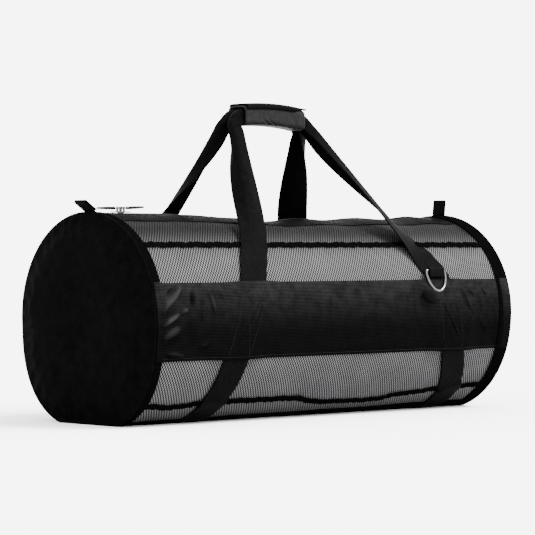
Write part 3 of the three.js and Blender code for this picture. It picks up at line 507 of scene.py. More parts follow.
def bumped(tree, height, strength, deep, under=None):
    """A bump of a depth in millimetres, over another bump if there is one."""
    inputs = {"Height": height, "Strength": strength, "Distance": deep * MM}
    if under:
        inputs["Normal"] = under
    return add(tree, "ShaderNodeBump", inputs).outputs[0]


def floor_height(tree, place):
    """Height over the floor, in metres."""
    return add(tree, "ShaderNodeSeparateXYZ", {"Vector": place["Object"]}).outputs["Z"]


def start_material(name, **sockets):
    """A material with one Principled shader, its fixed values set on its own sockets, and its coordinates."""
    material = bpy.data.materials.new(name)
    material.use_nodes = True
    tree = material.node_tree
    shader = next(node for node in tree.nodes if node.type == "BSDF_PRINCIPLED")
    for key, value in sockets.items():
        shader.inputs[key.replace("_", " ")].default_value = value
    return material, tree, shader, tree.nodes.new("ShaderNodeTexCoord").outputs


def link_shader(tree, shader, **sockets):
    """Links what varies over the piece to the shader."""
    for key, socket in sockets.items():
        tree.links.new(socket, shader.inputs[key.replace("_", " ")])


def thread_waves(tree, source, pitch_u, pitch_v):
    """Height of a plain weave: the sine along u times the sine along v, each with its pitch in
    millimetres."""
    split = add(tree, "ShaderNodeSeparateXYZ", {"Vector": source}).outputs
    waves = [maths(tree, "SINE", maths(tree, "MULTIPLY", split[axis], 2 * math.pi / (pitch * MM)))
             for axis, pitch in (("X", pitch_u), ("Y", pitch_v)) if pitch]
    return waves[0] if len(waves) == 1 else maths(tree, "MULTIPLY", *waves)


def cloth_material(name, dark, light, roughness, pitch_u, pitch_v, depth, mottle=60, gloss=0.03, top=None,
                   painted_fold_shading=None):
    """Woven cloth: a weave in its bump, a cloudy blend of two close colours, and soft wrinkles from noise.
    With top, the cloth fades to that colour towards the heights given, in metres, as painted light that
    makes it paler above. With the last argument, its folds get a painted highlight of that colour and its
    hollows painted shade, by the height that the mesh keeps for each point."""
    material, tree, shader, place = start_material(name, Specular_IOR_Level=gloss)
    waves = thread_waves(tree, place["UV"], pitch_u, pitch_v)
    cloud = noise(tree, place, mottle, 5.0, 0.6)
    blend = ranged(tree, maths(tree, "MULTIPLY_ADD", waves, 0.25, cloud), 0.15, 0.85)
    colour = mixed(tree, blend, dark, light)
    # Painted light: the cloth turns paler towards the top heights
    if top:
        painted_light_colour, start, end = top
        fade = ranged(tree, floor_height(tree, place), start, end, smooth=True)
        colour = mixed(tree, maths(tree, "MULTIPLY", fade, blend), colour, painted_light_colour)
    # Painted highlight on the folds and painted shade in the hollows, from the value kept on each point
    if painted_fold_shading:
        kept = add(tree, "ShaderNodeAttribute", attribute_name="painted_fold_shading").outputs["Fac"]
        colour = mixed(tree, ranged(tree, kept, 0.15, 1.0), colour, painted_fold_shading)
        colour = mixed(tree, ranged(tree, kept, -0.03, -0.3), colour, dark)
    rub = ranged(tree, cloud, 0.0, 1.0, roughness - 0.08, roughness + 0.08)
    wrinkles = bumped(tree, noise(tree, place, 22.0, 3.0), 0.6, 3)
    weave = bumped(tree, waves, 0.7, depth, wrinkles)
    link_shader(tree, shader, Base_Color=colour, Roughness=rub, Normal=weave)
    return material


# Nylon packcloth, woven and coated: near black, softly wrinkled. Its 0.5 mm threads are drawn at 1.3 mm
PACKCLOTH = cloth_material("coated_nylon_packcloth", "#010101", "#040404", 0.5, 1.3, 1.3, 0.14,
                           gloss=0.001)
# Ribbed polyester: lengthwise ribs 2 mm apart, a little lighter and drier than the packcloth, with painted
# light that makes it paler above, and a painted highlight on its folds over painted shade in its hollows
RIBBED = cloth_material("ribbed_polyester_cloth", "#010101", "#030303", 0.5, 0, 2.2, 0.4, gloss=0.002,
                        top=("#141414", 0.135, 0.235), painted_fold_shading="#1b1b1b")
# Woven polypropylene webbing: cross ribs 1.5 mm apart with lengthwise warp lines, black with a faint shine
WEB = cloth_material("polypropylene_webbing", "#010101", "#050505", 0.5, 1.5, 2.6, 0.3,
                     mottle=120, gloss=0.003)
# Woven binding tape: fine cross ribs, dull black
BINDING = cloth_material("grosgrain_binding_tape", "#010101", "#030303", 0.7, 1.4, 0, 0.15,
                         mottle=120, gloss=0.0)
# Coated grip cloth over foam: charcoal with a fine grain
GRIP_CLOTH = cloth_material("coated_grip_cloth", "#050505", "#111112", 0.5, 0.9, 0.9, 0.1,
                            mottle=150, gloss=0.02)
# Bonded polyester thread: a shade lighter than the cloth that it sews
THREAD = cloth_material("bonded_polyester_thread", "#0a0a0a", "#141414", 0.5, 0.8, 0, 0.05,
                        mottle=200, gloss=0.01)


def net_material():
    """Knitted polyester net: light grey yarn on the crowns, sinking round each hole to near black painted
    shade. The dark spots are the product of two sines, one along the bag and one round it, with the pitch of
    the holes. It fades to a near black painted shade towards the bag's top."""
    material, tree, shader, place = start_material("knitted_polyester_net", Specular_IOR_Level=0.01)
    waves = thread_waves(tree, place["UV"], NET_PITCH, 2 * NET_ROW)
    cloud = noise(tree, place, 26.0, 4.0)
    # Painted shade round each hole, which the bump also sinks
    hole_dip_and_shade = ranged(tree, waves, -0.6, 0.25, smooth=True)
    # Painted shade: the net darkens towards the bag's top
    fade = ranged(tree, floor_height(tree, place), 0.252, 0.306, smooth=True)
    cover = mixed(tree, fade, mixed(tree, cloud, "#3a3a3b", "#4f4f50"), "#101010")
    link_shader(tree, shader, Base_Color=mixed(tree, hole_dip_and_shade, cover, "#020202"),
                Roughness=ranged(tree, cloud, 0.0, 1.0, 0.5, 0.7), Normal=bumped(tree, hole_dip_and_shade, 0.5, -0.4))
    return material


# Pitch of the net's holes along the bag and from row to row, the share of a tile that is open, how pointed a
# tile is, and how far in the second ply lies. The real holes are finer. These are coarser so that they show
NET_PITCH = 5.2
NET_ROW = 3.5
NET_OPEN = 0.27
NET_SHARP = 0.36
PLY_DEPTH = 1.4
NET_YARN = net_material()


def hard_material(name, colour, smooth, rough, grain, detail, dent, **sockets):
    """Plated metal or moulded plastic: one tint, with one fine noise for the smears of its gloss and its
    dents."""
    material, tree, shader, place = start_material(name, Base_Color=linear(colour), **sockets)
    smear = noise(tree, place, grain, detail)
    link_shader(tree, shader, Roughness=ranged(tree, smear, 0.0, 1.0, smooth, rough),
                Normal=bumped(tree, smear, dent, 0.1))
    return material


# Chrome plate, toned down because the even sky of this studio gives it nothing dark to mirror
CHROME = hard_material("chrome_plated_steel", "#444446", 0.08, 0.24, 260.0, 4.0, 0.15, Metallic=1.0)
# Cast zinc with a nickel plate, its tint toned down further than the chrome's as painted reflection: the
# even sky of this studio gives it nothing dark to mirror
SLIDER_METAL = hard_material("nickel_plated_zinc", "#2a2a2c", 0.08, 0.24, 260.0, 4.0, 0.15, Metallic=1.0)
# Nylon monofilament of the zip's coil, half dull
COIL_NYLON = hard_material("nylon_zip_coil", "#040404", 0.34, 0.5, 900.0, 3.0, 0.3, Specular_IOR_Level=0.03)
# Soft vinyl moulded over the pulls, dull with a spark-eroded grain
SOFT_VINYL = hard_material("moulded_soft_vinyl", "#040404", 0.42, 0.58, 1200.0, 3.0, 0.3,
                           Specular_IOR_Level=0.03)

CLOTH_FINISH = (PACKCLOTH, "black_cloth")
BAND_FINISH = (RIBBED, "band_cloth")
NET_FINISH = (NET_YARN, "net")
INNER_FINISH = (BINDING, "net")
WEB_FINISH = (WEB, "webbing")
TAPE_FINISH = (BINDING, "binding_tape")
GRIP_FINISH = (GRIP_CLOTH, "grip_cloth")
THREAD_FINISH = (THREAD, "band_cloth")
COIL_FINISH = (COIL_NYLON, "zip_coil")
CHROME_FINISH = (CHROME, "chrome")


# Net

ARC = BODY_HALF_WIDTH * DEGREE


def net(name, side, low, high, finish, replaced, ply=0):
    """Open net on the bag's form. Its holes stand on a staggered lattice. Each is a six-sided tile, drawn
    as six quads from the tile's edge, where the yarn's crown stands proud, in to the hole's rim, the same
    tile made smaller. Low and high are its first and last angle. The second ply lies inside the first,
    with its holes under the first one's yarn."""
    rows = np.arange(low - 8, high + 14, NET_ROW / ARC)
    columns = np.arange(-HALF, HALF + NET_PITCH, NET_PITCH) + ply * NET_PITCH / 2
    x = columns[None] + NET_PITCH / 2 * (np.arange(len(rows)) % 2)[:, None]
    angle = np.broadcast_to(rows[:, None], x.shape)
    kept = (np.abs(x) < HALF - 2) & (angle > low) & (angle < high)
    x, angle = x[kept], angle[kept]
    half, tall, short = NET_PITCH / 2, NET_ROW * (0.5 + NET_SHARP), NET_ROW * (0.5 - NET_SHARP)
    right = [[0, tall], [half, short], [half, -short]]
    corners = np.array(right + [[-x, -y] for x, y in right])
    edge_x, edge_t = x[:, None] + corners[:, 0], angle[:, None] * ARC + corners[:, 1]
    rim_x, rim_t = x[:, None] + NET_OPEN * corners[:, 0], angle[:, None] * ARC + NET_OPEN * corners[:, 1]
    lattice = np.stack([edge_x.ravel(), edge_t.ravel()], 1)
    _, first, shared = np.unique(np.round(lattice, 2), axis=0, return_index=True, return_inverse=True)
    shared = shared.reshape(edge_x.shape)
    all_x = np.concatenate([lattice[first, 0], rim_x.ravel()])
    all_t = np.concatenate([lattice[first, 1], rim_t.ravel()])
    proud = np.concatenate([np.full(len(first), 0.35), np.zeros(rim_x.size)])
    slack = 1.3 * ridges(all_x, all_t, 34, 11) + 0.5 * (1 + np.sin(all_x / 31) * np.sin(all_t / 22))
    all_x = np.clip(all_x, -HALF + 1, HALF - 1)
    all_angle = all_t / ARC
    height = CLOTH * 0.5 + proud - slack - ply * PLY_DEPTH
    points = skin(all_x, all_angle if side > 0 else 360 - all_angle, height)
    rim = len(first) + np.arange(rim_x.size).reshape(rim_x.shape)
    faces = np.stack([shared, np.roll(shared, -1, 1), np.roll(rim, -1, 1), rim], -1).reshape(-1, 4)
    uv = np.stack([all_x + HALF + NET_PITCH / 4, all_t - rows[0] * ARC + NET_ROW / 2], 1)[faces]
    mesh = face_out(mesh_of(name, points, faces, uv))
    return put(name, mesh, finish, replaced=replaced, smooth=False)


# Each panel's first and last angle, a little under its neighbours, and the nodes that it stands for
NET_PANELS = {
    "upper": (PLACKET_EDGE - 1.5, BAND_TOP + 1.5, ["mesh_top", "mesh_upper"]),
    "lower": (BAND_BOTTOM - 1.5, BELLY_EDGE + 1, ["mesh_lower", "mesh_low"]),
}
for word, side in SIDES.items():
    for part, (low, high, nodes) in NET_PANELS.items():
        net(f"net_{part}_{word}", side, low, high, NET_FINISH, [f"{node}_{word}" for node in nodes])
        net(f"net_inner_{part}_{word}", side, low, high, INNER_FINISH, [], ply=1)


# Side bands

# Folds seen at the left and the right of the band: x, arc from the band's top, to x, to arc, width, depth
BAND_CREASES = [
    (-336, 2, -388, 46, 6, 4.2), (-388, 66, -349, 46, 5, 4.4), (-349, 46, -331, 41, 4, 3.4),
    (-388, 84, -345, 66, 9, 3.0), (-286, 12, -277, 51, 3.5, 2.4), (-298, 35, -305, 58, 3, 2.2),
    (-372, 22, -352, 6, 4, -2.0), (-380, 104, -330, 112, 5, 1.8), (-312, 100, -280, 88, 5, 1.2),
    (-318, 10, -322, 40, 5, -1.8), (-262, 8, -254, 34, 4, 1.0),
    (277, 15, 294, 47, 2.2, 2.2), (299, 16, 309, 29, 2.0, 1.8), (328, 11, 339, 28, 2.0, 2.0),
    (286, 34, 306, 60, 2.6, 1.2), (352, 20, 368, 52, 3, 1.2), (318, 60, 340, 92, 5, 1.0),
    (300, 70, 290, 100, 4, 0.9),
    (-120, 8, -60, 14, 6, 0.6), (20, 104, 90, 98, 7, 0.7), (-40, 60, 60, 66, 16, 0.6),
    (-170, 9, -231, 98, 1.3, -0.9), (-179, 29, -195, 75, 1.2, -0.8), (-224, 13, -236, 59, 1.2, -0.8),
    (220, 35, 280, 113, 1.2, -0.8), (233, 19, 233, 110, 1.2, -0.8),
]
# Painted shade in the hollows between the folds, as the same rows, for the colour alone
BAND_HOLLOW_SHADE = [
    (-392, 58, -352, 40, 4, 0.4), (-392, 78, -348, 56, 4, 0.4), (-334, 44, -318, 98, 12, 0.25),
    (-306, 8, -296, 66, 8, 0.22), (-270, 20, -262, 70, 10, 0.15), (-390, 98, -340, 84, 5, 0.3),
    (270, 8, 284, 52, 5, 0.2), (312, 12, 330, 70, 7, 0.18), (345, 30, 366, 96, 9, 0.2),
]
# How far beside a strap the band comes down again, and the lump that the roll of webbing makes in it
RELIEF_FADE = 42
LUMP = {"x": 205, "arc": 28, "wide": 18, "tall": 14, "height": 4}


def band_height(x, share, face):
    """Height of the band over the net: its own cloth, lifted over the strap and the end bindings with soft
    ramps, plus its folds, and the lump of turned-in webbing below the ring. The rear face, -1, has the
    front one's folds and lump turned half round the bag's upright line."""
    station = 3 + share
    u = x * face
    arc = share * (BAND_BOTTOM - BAND_TOP) * ARC
    lift = 0
    for side in ENDS:
        beside = np.abs(x - strap_x(side, station)) - RELIEF_HALF + 1
        lift = lift + (1 - ease(beside / RELIEF_FADE))
    held = ease(np.minimum(share, 1 - share) / 0.08)
    folds = 2 * creases(u, arc, BAND_CREASES) * held
    near_end = np.exp(-((HALF - np.abs(x)) / 60) ** 2)
    fine = (0.9 * near_end + 0.15) * (ridges(u, arc, 11, 5) - 0.25) * held
    from_lump = ((u - LUMP["x"]) / LUMP["wide"]) ** 2 + ((arc - LUMP["arc"]) / LUMP["tall"]) ** 2
    lump = LUMP["height"] * np.exp(-from_lump ** 1.5)
    over_binding = (LAYER + TAPE) * ease((np.abs(x) - HALF + BINDING_WIDTH + 8) / 8)
    return BAND_CLOTH + np.maximum(lift * (STRAP_TOP + 2 * GAP), over_binding) + folds + fine + lump


for word, side in SIDES.items():
    x = np.linspace(-HALF + 1, HALF - 1, 420)[None]
    share = np.linspace(0, 1, 90)[:, None]
    along = x * side
    arc = share * (BAND_BOTTOM - BAND_TOP) * ARC
    outer = panel(x, 3 + share, band_height(x, share, side), side)
    obj = cloth_wall(f"side_band_{word}", outer, x, arc, BAND_CLOTH, BAND_FINISH, [f"band_{word}"])
    # Painted highlight on the band's folds and painted shade in its hollows, kept on each point for the
    # colour
    folded = creases(along, arc, BAND_CREASES) / 4 - creases(along, arc, BAND_HOLLOW_SHADE)
    fold_shading_values = np.clip(folded, -1, 1) * (0.6 + 0.4 * ridges(along, arc, 6, 9))
    kept = obj.data.attributes.new("painted_fold_shading", "FLOAT", "POINT")
    kept.data.foreach_set("value", fold_shading_values.ravel().astype(np.float32))


# Seam tapes and end bindings

def round_section(width, thick, count=6):
    """Offsets across and up round a flat tape: a superellipse of power 4."""
    turn = np.linspace(0, 2 * math.pi, 4 * count, endpoint=False)
    c, s = np.cos(turn), np.sin(turn)
    return np.sign(c) * np.abs(c) ** 0.5 * width / 2, np.sign(s) * np.abs(s) ** 0.5 * thick / 2


def seam_tape(name, station, side):
    """Tape over a long seam: a flat rounded section carried along the seam, puckered where it is sewn."""
    across, up = round_section(SEAM_TAPE_WIDTH + 2, TAPE + 0.6)
    x = np.linspace(-HALF + BINDING_WIDTH - 3, HALF - BINDING_WIDTH + 3, 330)[:, None]
    pucker = 0.45 * np.sin(x / 2.1) + 0.9 * (ridges(x, 0 * x, 9, 3) - 0.3)
    height = CLOTH + SEAM_TAPE_GAP + TAPE / 2 + up[None] + pucker
    trim = across[None] * (1 + 0.12 * np.sin(x / 3.1)) + 0.6 * np.sin(x / 7)
    loops = panel(np.broadcast_to(x, height.shape), station, height, side, trim)
    return bar(name, loops, TAPE_FINISH, [name])


for word, side in SIDES.items():
    seam_tape(f"seam_tape_upper_{word}", 2, side)
    seam_tape(f"seam_tape_lower_{word}", 5, side)


# Width of the end bindings as they are seen
SEEN_BINDING = {"left": 16, "right": 27}


def binding(word, end):
    """Tape round an end: its section goes over the seam and is carried round the bag, with small sewn
    puckers."""
    wide = SEEN_BINDING[word]
    across, up = round_section(wide, TAPE + 0.4, 8)
    turn = np.linspace(0, 360, 300, endpoint=False)[:, None]
    pucker = 0.3 * np.sin(turn * 1.7) + 0.6 * (ridges(turn * 2.9, 0 * turn, 10, 8) - 0.3)
    pucker = pucker * (across[None] < 2)
    x = end * (HALF - wide / 2 + across[None]) + 0 * turn
    height = LAYER + TAPE / 2 + up[None] + 0.6 * pucker
    loops = skin(np.clip(x, -HALF, HALF), turn + 0 * across[None], height)
    loops[..., 0] = x
    loops[..., 2] = np.maximum(loops[..., 2], 0.0)
    return bar(f"binding_{word}", loops, TAPE_FINISH, [f"end_binding_{word}"], closed=True)


for word, end in ENDS.items():
    binding(word, end)


# Round ends

# How the cloth of the ends feels, with its spare cloth as a share and its air pressure. Then the frames of
# its run, and the most that a point may move, in millimetres
CLOTH_FEEL = {
    "quality": 5, "mass": 0.25, "tension_stiffness": 12, "compression_stiffness": 8, "shear_stiffness": 6,
    "bending_stiffness": 0.6, "vertex_group_mass": "sewn", "pin_stiffness": 1, "shrink_min": -0.015,
    "use_pressure": True, "uniform_pressure_force": 1.5,
}
CLOTH_FRAMES = 18
MOST_MOVE = 5


def settle(obj, pinned):
    """Runs Cloth on a piece with its gravity off, a little spare cloth and some points pinned, caps each
    point's move, and keeps the result as the piece's own mesh."""
    start = np.empty(len(obj.data.vertices) * 3)
    obj.data.vertices.foreach_get("co", start)
    group = obj.vertex_groups.new(name="sewn")
    for index, weight in pinned:
        group.add([int(index)], float(weight), "REPLACE")
    cloth = obj.modifiers.new("cloth", "CLOTH")
    for key, value in CLOTH_FEEL.items():
        setattr(cloth.settings, key, value)
    cloth.settings.effector_weights.gravity = 0
    cloth.collision_settings.use_collision = False
    cloth.point_cache.frame_start = 1
    cloth.point_cache.frame_end = CLOTH_FRAMES
    scene = bpy.context.scene
    for step in range(1, CLOTH_FRAMES + 1):
        scene.frame_set(step)
    shaped = obj.evaluated_get(bpy.context.evaluated_depsgraph_get()).to_mesh()
    end = np.empty_like(start)
    shaped.vertices.foreach_get("co", end)
    obj.modifiers.remove(cloth)
    obj.vertex_groups.remove(group)
    scene.frame_set(1)
    move = (end - start).reshape(-1, 3)
    size = np.linalg.norm(move, axis=1, keepdims=True)
    move *= np.minimum(1, MOST_MOVE * MM / np.maximum(size, 1e-9))
    obj.data.vertices.foreach_set("co", (start.reshape(-1, 3) + move).ravel())
    obj.data.update()
    return obj


def end_cap(word, end):
    """Round end: rings of points from the rim in to a closed pole. The rise is 1 - share^4.8 of the dome,
    with puckers at the rim and crumples over the rest. Cloth with a little spare cloth then wrinkles it."""
    turn = np.linspace(0, 360, 168, endpoint=False)
    share = 1 - np.linspace(0, 1, 60, endpoint=False)
    rim = skin(end * HALF, turn, LAYER + TAPE - 0.4)
    y, z = rim[:, 1] * share[:, None], MIDDLE + (rim[:, 2] - MIDDLE) * share[:, None]
    pucker = 0.9 * np.sin(turn * 0.62 + 2 * np.sin(turn * DEGREE * 3)) * share[:, None] ** 9
    crumple = 2.6 * (ridges(y, z, 26, 21 + end) - 0.3) * ease((1 - share[:, None]) / 0.1)
    rise = END_DOME * (1 - share[:, None] ** 4.8) + pucker * ease((1 - share[:, None]) / 0.02) + crumple
    x = end * (HALF + GAP + CLOTH + rise)
    pole = [[end * (HALF + GAP + CLOTH + END_DOME), 0, MIDDLE]]
    points = np.concatenate([np.stack([x, y, z], -1).reshape(-1, 3), pole])
    rows, columns = x.shape
    quads = grid_faces(rows, columns, True)
    last = (rows - 1) * columns + np.arange(columns)
    tip = np.stack([last, np.roll(last, -1), np.full(columns, len(points) - 1)], -1)
    name = f"end_cap_{word}"
    uv = points[np.concatenate([quads.ravel(), tip.ravel()])][:, 1:]
    mesh = mesh_of_both(name, points, quads.tolist() + tip.tolist(), uv)
    mesh.update()
    if mesh.polygons[len(mesh.polygons) // 2].normal.x * end < 0:
        mesh.flip_normals()
    obj = put(name, mesh, CLOTH_FINISH, replaced=[f"end_panel_{word}"])
    weights = np.repeat(np.clip((share - 0.93) / 0.05, 0, 1), columns)
    settle(obj, [(i, w) for i, w in enumerate(weights) if w > 0])
    return inner_wall(obj, CLOTH)


for word, end in ENDS.items():
    end_cap(word, end)


def piping(word, end):
    """Cord of piping in the end seam: a round section carried round the rim."""
    turn = np.linspace(0, 360, 260, endpoint=False)
    rim = skin(end * HALF, turn, LAYER + TAPE / 2)
    rim[:, 0] = end * (HALF + 0.9)
    rim[:, 2] = np.maximum(rim[:, 2], 1.0)
    around = np.linspace(0, 2 * math.pi, 8, endpoint=False)
    outward = (rim - [end * HALF, 0, MIDDLE])
    outward[:, 0] = 0
    outward /= np.linalg.norm(outward, axis=1, keepdims=True)
    loops = rim[:, None] + 0.9 * (np.cos(around)[None, :, None] * outward[:, None]
                                  + np.sin(around)[None, :, None] * np.array([1.0, 0, 0]))
    loops[..., 2] = np.maximum(loops[..., 2], 0.0)
    return bar(f"piping_{word}", loops, WEB_FINISH, closed=True)


for word, end in ENDS.items():
    piping(word, end)


# Belly, plackets and zip

def belly():
    """Belly cloth from edge to edge: flat where it rests, crumpled where it curves up, lifted over the two
    straps by the form itself."""
    x = np.linspace(-HALF + 1, HALF - 1, 300)[None]
    down = np.linspace(BELLY_EDGE - 0.6, 178, 40)
    angle = np.concatenate([down, 360 - down[::-1]])[:, None]
    arc = angle * ARC
    loose = ease((np.abs(180 - angle) - 12) / 9)
    outer = skin(x, angle, CLOTH + loose * 2.2 * (ridges(x, arc, 15, 31) - 0.2))
    cloth_wall("belly_cloth", outer, x, arc, CLOTH, CLOTH_FINISH, ["bottom_panel"])


belly()

COIL_EDGE = COIL_WIDTH / 2
ZIP_TAPE_START = COIL_EDGE + GAP
PLACKET_START = ZIP_TAPE_START + ZIP_TAPE_WIDTH + GAP


def top_cloth(name, side, low, high, thick, finish, replaced, wave):
    """Cloth strip beside the zip between two angles, with shallow waves."""
    x = np.linspace(-HALF + 1, HALF - 1, 300)[None]
    angle = np.linspace(low, high, 24)[:, None]
    arc = angle * ARC
    waves = wave * (ridges(x, arc, 24, 41) - 0.3) * ease((angle - low) / 3)
    outer = skin(x, angle if side > 0 else 360 - angle, thick + waves)
    cloth_wall(name, outer, x, arc, thick, finish, replaced)


for word, side in SIDES.items():
    top_cloth(f"placket_cloth_{word}", side, PLACKET_START / ARC, PLACKET_EDGE, CLOTH, CLOTH_FINISH,
              [f"placket_{word}"], 1.5)
    top_cloth(f"zip_tape_cloth_{word}", side, ZIP_TAPE_START / ARC, (PLACKET_START - GAP) / ARC,
              ZIP_TAPE_THICK, TAPE_FINISH, [f"zip_tape_{word}"], 0)

# Real coils have finer teeth. These are coarser so that they show
TOOTH_PITCH = 2.1


def zip_teeth(word):
    """Coil teeth: rounded bars that reach across from each side in turn, at a fixed pitch along the zip."""
    end = ENDS[word]
    near, far = SLIDER_PLACES[word], end * (HALF - BINDING_WIDTH)
    places = np.arange(min(near, far) + 1, max(near, far) - 1, TOOTH_PITCH)
    turn = np.linspace(0, 2 * math.pi, 8, endpoint=False)
    parts = []
    middle = ZIP_TAPE_THICK / 2
    for number, x in enumerate(places):
        hand = 1 if number % 2 else -1
        reach = np.array([-0.9, 0.2, 1.0]) * COIL_EDGE * hand
        swell = np.array([0.8, 1.0, 0.7])
        sx = x + 0.8 * np.cos(turn)[None] * swell[:, None]
        rise = middle + COIL_THICK / 2 * np.sin(turn)[None] * swell[:, None]
        loops = skin(sx, reach[:, None] / ARC + 0 * sx, rise)
        bar("tooth", loops, COIL_FINISH, join=parts)
    joined(f"zip_teeth_{word}", parts, COIL_FINISH, [f"zip_coil_{word}"])


for word in ENDS:
    zip_teeth(word)


# Webbing

# Where each leg lies on the bag, by seams, and the shares of its free length that get a knot. Then its
# clearance over the seam tape, the step of its mesh, and what shapes its twist and fold. The shoulder is the
# turn into the grip: out, down and forward
LEG_STATIONS = {"left": [3.5, 3.25, 3, 2.8, 2.6], "right": [3.5, 3.25, 3.05, 2.88]}
FREE_SHARES = [0.1, 0.2, 0.32, 0.45, 0.6, 0.75, 0.88, 1]
CLEAR_OF_TAPE = 4.2
WEB_STEP = 4
TWIST_POWER = {"left": 1.8, "right": 0.9}
FOLD_POWER = {"left": 1.3, "right": 2.2}
SHOULDER = (25, 19, 3)
GRIP_HALF = HAND_GRIP_LENGTH / 2
FOLD_ARM = STRAP_HALF - FOLD_FLAT / 2
STRAP_PITCH = FOLD_FLAT / 2 + FOLD_ARM * math.cos(FOLD_ANGLE * DEGREE) + WEBBING + GAP
FOLD_DEPTH = FOLD_ARM * math.sin(FOLD_ANGLE * DEGREE)


def grip_height(x):
    """Middle line of the grip: a shallow arch that droops to the right."""
    share = (x - HAND_GRIP_CENTRE[0]) / GRIP_HALF
    return HAND_GRIP_CENTRE[1] + HAND_GRIP_ARCH * (0.5 - share * share) - HAND_GRIP_DROOP * share / 2


def strap_point(side, station, height, face=1, trim=0):
    """Middle of a strap on the bag: halfway between the cloth's points at its two relief edges."""
    x = strap_x(side, station)
    left = panel(x - RELIEF_HALF, station, height, face, trim)
    right = panel(x + RELIEF_HALF, station, height, face, trim)
    return (left + right) / 2, (right - left) / np.linalg.norm(right - left)


def handle_knots(drift):
    """Knots of one carry loop, each with its place, its across direction and its fold, from the left foot
    up, through the grip and down to the right foot. Each leg is moved along the bag by its drift, most at
    DRIFT_PEAK of its length: (s / p) ((1 - s) / (1 - p))^((1 - p) / p) for a share s and a peak p."""
    rows = {"left": [], "right": []}
    for word, end in ENDS.items():
        for station in LEG_STATIONS[word]:
            centre, across = strap_point(word, station, STRAP_LAYER + WEBBING / 2)
            rows[word].append([*centre, *(-end * across), 0])
        foot = np.array(rows[word][-1][:3])
        grip_end = HAND_GRIP_CENTRE[0] + end * (GRIP_HALF + WEBBING)
        top = np.array([grip_end, -STRAP_PITCH, grip_height(grip_end) + FOLD_DEPTH / 2])
        shoulder = top + np.array([end * SHOULDER[0], -SHOULDER[2], -SHOULDER[1]])
        for share in FREE_SHARES:
            clear = (np.linalg.norm(shoulder - foot) * share) ** 2 / BAG_HEIGHT - CLEAR_OF_TAPE
            most = math.asin(min(1, max(0, clear / STRAP_HALF)))
            turn = min(most, math.pi / 2 * share ** TWIST_POWER[word])
            place = foot + (shoulder - foot) * share
            away = share / DRIFT_PEAK * ((1 - share) / (1 - DRIFT_PEAK)) ** (1 / DRIFT_PEAK - 1)
            place = place + [drift[word] * away, 0, 0]
            fold = FOLD_ANGLE * share ** FOLD_POWER[word]
            rows[word].append([*place, -end * math.cos(turn), -math.sin(turn), 0, fold])
    for share in (-1.06, -0.9, -0.4, 0.4, 0.9, 1.06):
        x = HAND_GRIP_CENTRE[0] + share * GRIP_HALF
        rows["left"].append([x, -STRAP_PITCH, grip_height(x) + FOLD_DEPTH / 2, 0, -1, 0, FOLD_ANGLE])
    return np.array(rows["left"] + rows["right"][::-1])


def web_strip(name, knots, replaced, side=1):
    """Webbing along knots of place, across direction and fold: its bent section is carried along the
    smooth path."""
    rows = smooth_path(knots, WEB_STEP)
    sections = np.array([tape_loop(STRAP_HALF, WEBBING, fold) for fold in rows[:, 6]])
    loops = swept(rows[:, :3], rows[:, 3:6], sections)
    loops[..., 1] *= side
    loops[..., 2] = np.maximum(loops[..., 2], 0)
    run = np.arange(len(loops))[:, None] * WEB_STEP
    half = loops.shape[1] // 2
    v = np.concatenate([np.linspace(0, WEBBING_WIDTH, half), np.linspace(WEBBING_WIDTH, 0, half + 1)])[None]
    return bar(name, loops, WEB_FINISH, replaced, u=run, v=v)


DRIFT_PEAK = 0.35
LEG_DRIFT = {"front": {"left": 15, "right": 0}, "rear": {"left": 0, "right": -37}}
for word, side in SIDES.items():
    web_strip(f"carry_loop_{word}", handle_knots(LEG_DRIFT[word]), [f"handle_{word}"], side)


def belly_web(word):
    """Webbing under the belly: down from one band, over the seam tape, under the belly and up to the other
    band."""
    knots = []
    lift = SEAM_TAPE_GAP + TAPE + GAP - WEBBING_GAP
    down = [(3.6, 0, 0), (3.85, 0, 0), (4.1, 0, 0), (4.4, 0, 0), (4.7, 0, 0), (4.9, 0, 0.3), (5, -3, lift),
            (5, 3, lift), (5.3, 0, 0.4), (5.7, 0, 0.3), (6, 0, 0.3), (6.2, 0, 0.1), (6.4, 0, 0)]
    for face, rows in ((1, down), (0, [(7, 0, 0)]), (-1, down[::-1])):
        for station, trim, raised in rows:
            centre, across = strap_point(word, station, STRAP_LAYER + WEBBING / 2 + raised, face or 1, trim)
            knots.append([*centre, *across, 0])
    return web_strip(f"belly_web_{word}", np.array(knots), [f"belly_strap_{word}"])


for word in ENDS:
    belly_web(word)


# Grip

def grip_ring(turn, raise_by):
    """Section of the grip: a superellipse, by its angle, and a height over its outer face."""
    c, s = np.cos(turn), np.sin(turn)
    y = (HAND_GRIP_WIDTH / 2 + raise_by) * np.sign(c) * np.abs(c) ** GRIP_CORNER
    z = (HAND_GRIP_HEIGHT / 2 + raise_by) * np.sign(s) * np.abs(s) ** GRIP_CORNER
    return y, z


